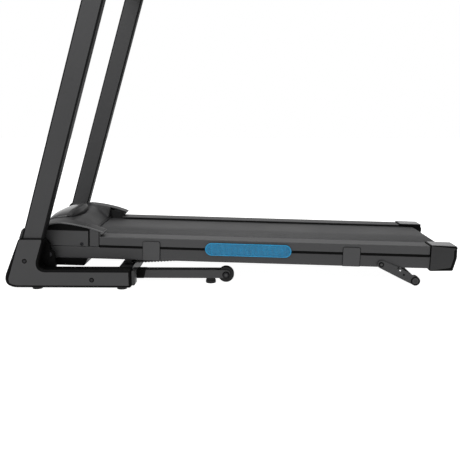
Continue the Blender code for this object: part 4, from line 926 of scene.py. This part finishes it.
def makeClip(place, word, side):
    outer, inner = faceY(f"clip_plate_{place}_{word}", side)
    x = inDeck(middle(f"clip_plate_{place}_{word}")).x
    half, bottom, top = clip["halfWide"], clip["bottom"], clip["top"]
    outline = roundedOutline([(x - half, bottom, 0.0012), (x + half, bottom, 0.0012),
                              (x + half, top, 0.0075), (x - half, top, 0.0075)], 8)
    plate = addPiece(f"clip_{place}_{word}", "deck", clipSteel, extruded(outline, outer, inner, onDeck),
                     standsFor=(f"clip_plate_{place}_{word}",))
    foldedEdge(plate, powderCoatedSteel, 1.3, 4)
    # painted shadow: a near-black line behind the plate's edge
    left, right, high = x - half - 0.0010, x + half + 0.0018, top + 0.0012
    clipShadow = roundedOutline([(left, bottom, 0.001), (right, bottom, 0.001),
                           (right, high, 0.009), (left, high, 0.009)], 8)
    addPiece(f"clip_shadow_line_{place}_{word}", "deck", nearBlackAbsAndPaintedShade,
             extruded(clipShadow, inner, inner + side * 0.0007, onDeck))


for word, side in sides:
    makeRearCap(word, side)
for word, side in sides:
    makeDamperCover(word, side)
for place in ("front", "rear"):
    for word, side in sides:
        makeClip(place, word, side)
print("rear caps, damper covers and clips made")


base = {
    "tyreSideMm": 5.0,  # the tyre's rounded shoulder
    "forkFace": 0.2640,  # y of the fork's outer face
    "shadeCoverSpan": (0.2735, 0.2992),  # y of each hinge shade cover's two faces
    "shadeCoverTop": 0.168,
    "shadeCoverBottom": 0.0605,
    "sleeveX": (-0.3475, -0.3165),
    "sleeveZ": (0.0205, 0.0515),
    "sleeveSpan": (0.2150, 0.2601),
}


def makeWheel(word, side):
    low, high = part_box(f"transport_wheel_{word}")
    centre = middle(f"transport_wheel_{word}")
    radius, halfWide = (high[2] - low[2]) / 2, (high[1] - low[1]) / 2
    shoulder = base["tyreSideMm"] / 1000

    def edge(end):
        turns = range(0, 91, 15) if end < 0 else range(90, -1, -15)
        return [(end * (halfWide - shoulder * (1 - math.cos(math.radians(turn)))),
                 radius - shoulder * (1 - math.sin(math.radians(turn)))) for turn in turns]

    profile = [(-halfWide, 0.0056), (-halfWide, radius - shoulder)] + edge(-1)
    for groove in (-0.0035, 0.0035):
        profile += [(groove - 0.0012, radius), (groove - 0.0006, radius - 0.0012),
                    (groove + 0.0006, radius - 0.0012), (groove + 0.0012, radius)]
    profile += edge(1) + [(halfWide, 0.0056)]
    tyre = turned(profile, centre, (0, 1, 0), 64)
    addPiece(f"wheel_tyre_{word}", f"transport_wheel_{word}", blackRubber, tyre,
             standsFor=(f"transport_wheel_{word}",), angleDegrees=30)
    # bolt through the fork: a washer and a recessed head
    face, out = (centre.x, side * base["forkFace"], centre.z), (0, side, 0)
    washer = [(-0.0055, 0.0130), (-0.0036, 0.0130), (-0.0030, 0.0124), (-0.0030, 0.0090)]
    addPiece(f"wheel_washer_{word}", "base", nearBlackAbsAndPaintedShade, turned(washer, face, out), angleDegrees=40)
    head = [(-0.004, 0.0098), (0.0006, 0.0098), (0.0012, 0.0090), (0.0010, 0.0062), (-0.0006, 0.0056),
            (-0.0006, 0.0)]
    addPiece(f"wheel_bolt_{word}", "base", blackOxide, turned(head, face, out), angleDegrees=40)
    # rubber foot under the fork: a plug with a waist
    low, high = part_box(f"rubber_foot_{word}")
    centre = middle(f"rubber_foot_{word}")
    tall, radius = high[2] - low[2], (high[0] - low[0]) / 2
    plug = [(0.0, 0.0), (0.0, radius - 0.003), (0.0008, radius - 0.0008), (0.0024, radius),
            (tall - 0.0105, radius), (tall - 0.0095, radius - 0.0014), (tall, radius - 0.0018), (tall, 0.0)]
    foot = turned(plug, (centre.x, centre.y, low[2]), (0, 0, 1), 48)
    addPiece(f"foot_plug_{word}", "base", blackRubber, foot, standsFor=(f"rubber_foot_{word}",),
             angleDegrees=35)


def paintHingeEarShade():
    # painted shade: the ears that carry the deck take the near-black finish of the covers over them, for the
    # shadow they sit in beside the post
    ears = nodes["base_frame"]
    ears.data.materials.append(nearBlackAbsAndPaintedShade)
    for face in ears.data.polygons:
        if face.center.z > base["shadeCoverBottom"] and face.center.x < pivot.x + 0.05:
            face.material_index = 1
    ears.modifiers["clean"].delimit = {"NORMAL", "MATERIAL"}


def makeHingeShadePieces(word, side):
    # near-black cover over the hinge ear, between the post and the deck: painted shade, put where the post's
    # shadow falls
    x, bottom, top = pivot.x, base["shadeCoverBottom"], base["shadeCoverTop"]
    outline = roundedOutline([(x - 0.046, bottom, 0.004), (x + 0.017, bottom, 0.003),
                              (x + 0.015, 0.0925, 0.003), (x + 0.003, 0.0960, 0.004), (x, top - 0.020, 0.030),
                              (x - 0.012, top, 0.014), (x - 0.036, top - 0.010, 0.006)], 8)
    inner, outer = base["shadeCoverSpan"]
    addPiece(f"hinge_shade_cover_{word}", "base", nearBlackAbsAndPaintedShade, extruded(outline, side * inner, side * outer),
             2.5)
    # near-black sleeve where the low tube starts; its dark also stands in for the boot end cap's shadow on
    # the tube
    (front, rear), (low, high), (inner, outer) = base["sleeveX"], base["sleeveZ"], base["sleeveSpan"]
    sleeve = [(front, low), (rear - 0.006, low), (rear, high - 0.010), (rear + 0.0015, high), (front, high)]
    addPiece(f"tube_sleeve_and_shade_{word}", "base", nearBlackAbsAndPaintedShade, extruded(sleeve, side * inner, side * outer),
             1.0)
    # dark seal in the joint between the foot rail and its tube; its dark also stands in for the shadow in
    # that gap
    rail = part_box(f"foot_rail_{word}")
    start, end = deckX(rail[0][0]) + 0.001, deckX(rail[1][0]) - 0.001
    joint = roundedOutline([(start, 0.0236, 0.001), (end, 0.0228, 0.001), (end, 0.0322, 0.001),
                            (start, 0.0318, 0.001)], 3)
    addPiece(f"rail_joint_{word}", "deck", nearBlackAbsAndPaintedShade, extruded(joint, side * 0.2655, side * 0.26722, onDeck))


joints = {joint["name"]: joint for joint in frame["joints"]}

incline = {
    "flangeRadius": 0.0164,  # the tyre flange round each arm's end
    "hubRadius": 0.0062,
    "plugs": ((0.0886, 0.0022, 0.0036), (0.0600, 0.0150, 0.0034)),  # along the arm, above its axis, radius
}


def makeInclineDetails(word, side):
    swing, roller = Vector(joints["incline_foot_swing"]["pos_m"]), middle("foot_roller_left")
    along = Vector((roller.x - swing.x, 0, roller.z - swing.z)).normalized()
    up = Vector((-along.z, 0, along.x))
    face, out = side * (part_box("incline_foot")[1][1] - 0.003), (0, side, 0)
    pivotAt, end = (swing.x, face, swing.z), (roller.x, face, roller.z)
    wide, hub = incline["flangeRadius"], incline["hubRadius"]
    cap = [(-0.001, 0.0088), (0.0028, 0.0088), (0.0032, 0.0080), (0.0030, 0.0052), (0.0016, 0.0046),
           (0.0016, 0.0)]
    flange = [(-0.008, wide), (0.0006, wide), (0.0012, wide - 0.0006), (0.0012, 0.0122), (0.0006, 0.0116),
              (-0.002, 0.0116)]
    screw = [(-0.001, hub), (0.0006, hub), (0.0010, hub - 0.0008), (0.0004, 0.0036), (0.0004, 0.0)]
    details = [("pivot_cap", nearBlackAbsAndPaintedShade, cap, pivotAt, 36, "steel"),
               ("tyre_flange", nearBlackAbsAndPaintedShade, flange, end, 48, "rubber"),
               ("hub_screw", darkAbs, screw, end, 32, "steel")]
    for name, material, profile, spot, steps, slotName in details:
        addPiece(f"incline_{name}_{word}", "incline_foot", material, turned(profile, spot, out, steps),
                 angleDegrees=40)
    for index, (u, v, radius) in enumerate(incline["plugs"]):
        spot = swing + along * u + up * v
        plug = [(-0.004, radius), (0.0004, radius), (0.0002, radius * 0.6), (-0.0006, 0.0)]
        addPiece(f"incline_plug_{word}_{index + 1}", "incline_foot", nearBlackAbsAndPaintedShade,
                 turned(plug, (spot.x, face, spot.z), out, 24), angleDegrees=40)


bellows = {
    "start": 0.026,  # metres along the strut
    "length": 0.185,
    "folds": 16,
    "wide": 0.0160,  # radius at the low end, and how much it loses by the top
    "taper": 0.0045,
}


def makeStrutBellows():
    # a rubber bellows keeps dirt off the strut's lower end
    profile = [(0.024, 0.0045), (0.024, 0.0138)]
    for step in range(bellows["folds"] + 1):
        share = step / bellows["folds"]
        along = bellows["start"] + bellows["length"] * share
        radius = bellows["wide"] - bellows["taper"] * share
        profile += [(along, radius), (along + 0.0058, radius - 0.0024)]
    profile += [(0.220, 0.0112), (0.220, 0.0101)]
    shape = turned(profile, joints["strut_swing"]["pos_m"], joints["strut_extend"]["axis"])
    addPiece("strut_bellows", "strut_cylinder", blackRubber, shape, angleDegrees=50)


for word, side in sides:
    makeWheel(word, side)
paintHingeEarShade()
for word, side in sides:
    makeHingeShadePieces(word, side)
for word, side in sides:
    makeInclineDetails(word, side)
makeStrutBellows()
print("wheels, feet, hinge covers and strut made")


grip = {
    "tubeRadius": 0.0125,
    "foamRadius": 0.0160,
    "bareLength": 0.034,  # steel that shows between the post and the foam
    "capLength": 0.007,
    "flangeRadius": 0.0170,
}


def swept(path, radii, steps=28):
    # rings along a path in the plane of the side view
    vertices, faces = [], []
    for index, (x, y, z) in enumerate(path):
        before, after = path[max(index - 1, 0)], path[min(index + 1, len(path) - 1)]
        along = Vector((after[0] - before[0], 0, after[2] - before[2])).normalized()
        up = Vector((-along.z, 0, along.x))
        for step in range(steps):
            turn = 2 * math.pi * step / steps
            ring = up * math.cos(turn) + Vector((0, 1, 0)) * math.sin(turn)
            vertices.append(Vector((x, y, z)) + ring * radii[index])
    for k in range(len(path) - 1):
        for step in range(steps):
            after = (step + 1) % steps
            here, ahead = k * steps, (k + 1) * steps
            faces.append((here + step, here + after, ahead + after, ahead + step))
    faces += [tuple(range(steps)), tuple(range(len(vertices) - steps, len(vertices)))]
    return vertices, faces


def makeHandrail(word):
    low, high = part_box(f"handrail_{word}")
    y, level = (low[1] + high[1]) / 2, low[2] + grip["foamRadius"]
    tubeRadius, flangeRadius, foamRadius = grip["tubeRadius"], grip["flangeRadius"], grip["foamRadius"]
    start = Vector((low[0] + 0.0046, y, high[2] - 0.0153))  # where it leaves the post
    bend = start + Vector((0.958, 0, -0.287)) * 0.040
    tubeEnd = high[0] - grip["capLength"]
    path = [tuple(start)]
    for step in range(9):
        t = step / 8
        first = start.lerp(bend, 0.4 + 0.6 * t)
        second = bend.lerp(Vector((bend.x + 0.030, y, level)), t)
        path.append(tuple(first.lerp(second, t)))
    path.append((tubeEnd, y, level))
    tube = addPiece(f"handrail_tube_{word}", "base", powderCoatedSteel, swept(path, [tubeRadius] * len(path)),
                    standsFor=(f"handrail_{word}",), angleDegrees=40)
    roundEdges(tube, 0.5)
    axis = (bend - start).normalized()
    flange = [(0.0002, flangeRadius - 0.0010), (0.0012, flangeRadius), (0.0050, flangeRadius - 0.0005),
              (0.0085, tubeRadius + 0.0006)]
    addPiece(f"handrail_flange_{word}", "base", darkAbs,
             swept([tuple(start + axis * along) for along, r in flange], [r for along, r in flange]),
             angleDegrees=40)
    # foam sleeve: its ends roll in, and it swells a little in the middle of the hold
    first, last = bend.x + grip["bareLength"], tubeEnd - 0.0005
    sleeve, radii = [], []
    for step in range(41):
        t = step / 40
        roll = min(min(t, 1 - t) * (last - first) / 0.006, 1.0)
        sleeve.append((first + (last - first) * t, y, level))
        radii.append(foamRadius - 0.0026 * (1 - math.sqrt(1 - (1 - roll) ** 2))
                     - 0.0005 * abs(math.cos(math.pi * t)))
    foam = addPiece(f"handrail_grip_{word}", "base", foamGrip, swept(sleeve, radii, 40),
                    angleDegrees=60)
    cap = [(0.0, 0.0150), (0.0012, 0.0156), (0.0042, 0.0152), (0.0062, 0.0132), (0.0070, 0.0100)]
    addPiece(f"handrail_cap_{word}", "base", darkAbs,
             swept([(tubeEnd + along, y, level) for along, r in cap], [r for along, r in cap]),
             angleDegrees=50)


readout = {
    "digitHigh": 0.026,
    "digitWide": 0.014,
    "strokeMm": 2.2,
    "bezelMm": 7.0,
    "digits": (-0.078, -0.056, 0.018, 0.040, 0.066, 0.088),  # metres across from the window's middle
    "markMm": 13.0,
}

# panel axes: across to the user's right, down the sloping face, and out of it
panelOut = Vector(joints["safety_key_pull"]["axis"]).normalized()
panelDown = Vector((panelOut.z, 0, -panelOut.x))


def onPanel(centre, across, along, lift):
    return centre + Vector((0, 1, 0)) * across + panelDown * along + panelOut * lift


def plate(centre, outline, low, high):
    count = len(outline)
    vertices = [onPanel(centre, a, b, lift) for lift in (low, high) for a, b in outline]
    faces = [(i, (i + 1) % count, count + (i + 1) % count, count + i) for i in range(count)]
    return vertices, faces + [tuple(range(count)), tuple(range(2 * count - 1, count - 1, -1))]


def bar(centre, a, b, wide, high, low=0.0, top=0.0004):
    left, right, above, below = a - wide / 2, a + wide / 2, b - high / 2, b + high / 2
    return plate(centre, [(left, above), (right, above), (right, below), (left, below)], low, top)


def makeDisplay():
    screen = middle("display") + panelOut * 0.0018
    low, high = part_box("display")
    halfWide, halfHigh = (high[1] - low[1]) / 2, (high[2] - low[2]) / 2 / abs(panelDown.z)
    # bezel round the window: four loops, each so far outside the glass and so far above it
    rim = readout["bezelMm"] / 1000
    vertices = []
    for grow, lift in ((rim, 0.0002), (rim - 0.0020, 0.0024), (-0.0010, 0.0022), (-0.0018, 0.0002)):
        a, b, radius = halfWide + grow, halfHigh + grow, grow + 0.002
        loop = roundedOutline([(-a, -b, radius), (a, -b, radius), (a, b, radius), (-a, b, radius)])
        vertices += [onPanel(screen, across, along, lift) for across, along in loop]
    count = len(loop)
    faces = []
    for k in range(4):
        for i in range(count):
            j, after = (i + 1) % count, (k + 1) % 4
            faces.append((k * count + i, k * count + j, after * count + j, after * count + i))
    addPiece("display_bezel", "base", darkAbs, (vertices, faces), angleDegrees=30)
    # lit zeros: speed on the left, time on the right; each segment is (across, down, level or not)
    segments = [(0, -1, True), (0, 1, True), (-1, -0.5, False), (1, -0.5, False), (-1, 0.5, False),
                (1, 0.5, False)]
    tall, wide, stroke = readout["digitHigh"], readout["digitWide"], readout["strokeMm"] / 1000
    bars = []
    for place in readout["digits"]:
        for a, b, level in segments:
            size = (wide - stroke * 1.4, stroke) if level else (stroke, tall / 2 - stroke * 1.2)
            bars.append(bar(screen, place + a * wide / 2, b * tall / 2, *size))
    for across, along in ((-0.067, tall / 2), (0.053, -0.005), (0.053, 0.005)):
        bars.append(bar(screen, across, along, stroke, stroke))
    addPiece("display_digits", "base", litSegments, joinedShapes(*bars))


def makeKeyMarks():
    length, stroke = readout["markMm"] / 1000, readout["strokeMm"] / 1000
    shapes = {"key_slower": [(length, stroke)], "key_start_stop": [(0.009, 0.009)],
              "key_faster": [(length, stroke), (stroke, length)]}
    for name, sizes in shapes.items():
        face = middle(name) + panelOut * 0.0030
        mark = joinedShapes(*(bar(face, 0, 0, wide, high, -0.0003, 0.0003) for wide, high in sizes))
        addPiece(f"{name}_mark", name, paleInk, mark)
    # a raised ring on the safety key
    ring = [(-0.0004, 0.0100), (0.0008, 0.0100), (0.0012, 0.0092), (0.0008, 0.0080), (-0.0004, 0.0080)]
    shape = turned(ring, middle("safety_key") + panelOut * 0.0080, panelOut)
    addPiece("safety_key_ring", "safety_key", redAbs, shape, angleDegrees=40)


makeHandrail("left")
makeHandrail("right")
makeDisplay()
makeKeyMarks()
print("handrails and console details made")


def makeStudio():
    scene = bpy.context.scene
    scene.view_settings.view_transform = "Standard"
    camera = bpy.data.objects.new("camera", bpy.data.cameras.new("camera"))
    scene.collection.objects.link(camera)
    camera.data.lens = studio["lensMm"]
    camera.data.sensor_width = studio["sensorMm"]
    yaw, pitch = studio["yawRadians"], studio["pitchRadians"]
    ahead = Vector((math.sin(yaw) * math.cos(pitch), math.cos(yaw) * math.cos(pitch), -math.sin(pitch)))
    camera.location = studio["eye"]
    camera.rotation_euler = ahead.to_track_quat("-Z", "Y").to_euler()
    scene.camera = camera
    world = bpy.data.worlds.new("studio")
    scene.world = world
    world.use_nodes = True
    white = world.node_tree.nodes["Background"]
    white.inputs["Color"].default_value = (1.0, 1.0, 1.0, 1.0)
    # the studio's walls are dark cloth to either side, and pale overhead and in front
    direction = addNode(world, "ShaderNodeTexCoord").outputs["Generated"]
    parts = addNode(world, "ShaderNodeSeparateXYZ", {}, {"Vector": direction})
    sideways = addNode(world, "ShaderNodeMath", {"operation": "ABSOLUTE"}, {0: parts.outputs["X"]})
    pale = addNode(world, "ShaderNodeMapRange",
                   {"From Min": 0.35, "From Max": 0.95, "To Min": studio["skyStrength"],
                    "To Max": studio["sideStrength"]}, {"Value": sideways.outputs[0]})
    cloth = addNode(world, "ShaderNodeBackground", {"Color": (1.0, 1.0, 1.0, 1.0)},
                    {"Strength": pale.outputs["Result"]})
    seen = addNode(world, "ShaderNodeLightPath").outputs["Is Camera Ray"]
    both = addNode(world, "ShaderNodeMixShader", {}, {0: seen, 1: cloth.outputs[0], 2: white.outputs[0]})
    world.node_tree.links.new(both.outputs[0], world.node_tree.nodes["World Output"].inputs["Surface"])
    for name, place, aim, width, power in studio["lights"]:
        light = bpy.data.lights.new(name, "AREA")
        light.energy = power
        light.size = width
        lamp = bpy.data.objects.new(name, light)
        lamp.location = place
        lamp.rotation_euler = (Vector(aim) - Vector(place)).to_track_quat("-Z", "Y").to_euler()
        scene.collection.objects.link(lamp)
    # floor: painted board with a faint roller stipple, aglow so that it stays pale right up to the object
    glow = {"Emission Color": (1.0, 1.0, 1.0, 1.0), "Emission Strength": studio["floorGlow"]}
    floorPaint = coat("rolledFloorPaint", hex=studio["floorHex"], hexLow="#a4a4a4", rough=0.9, ior=1.4,
        grainMm=6, relief=0.05, driftMm=900, sockets=glow)
    floor = bmesh.new()
    bmesh.ops.create_grid(floor, x_segments=8, y_segments=8, size=14)
    mesh = bpy.data.meshes.new("floor")
    floor.to_mesh(mesh)
    floor.free()
    item = bpy.data.objects.new("floor", mesh)
    item.location = (0, 0, -0.0005)
    scene.collection.objects.link(item)
    mesh.materials.append(floorPaint)


makeStudio()
print("studio set")
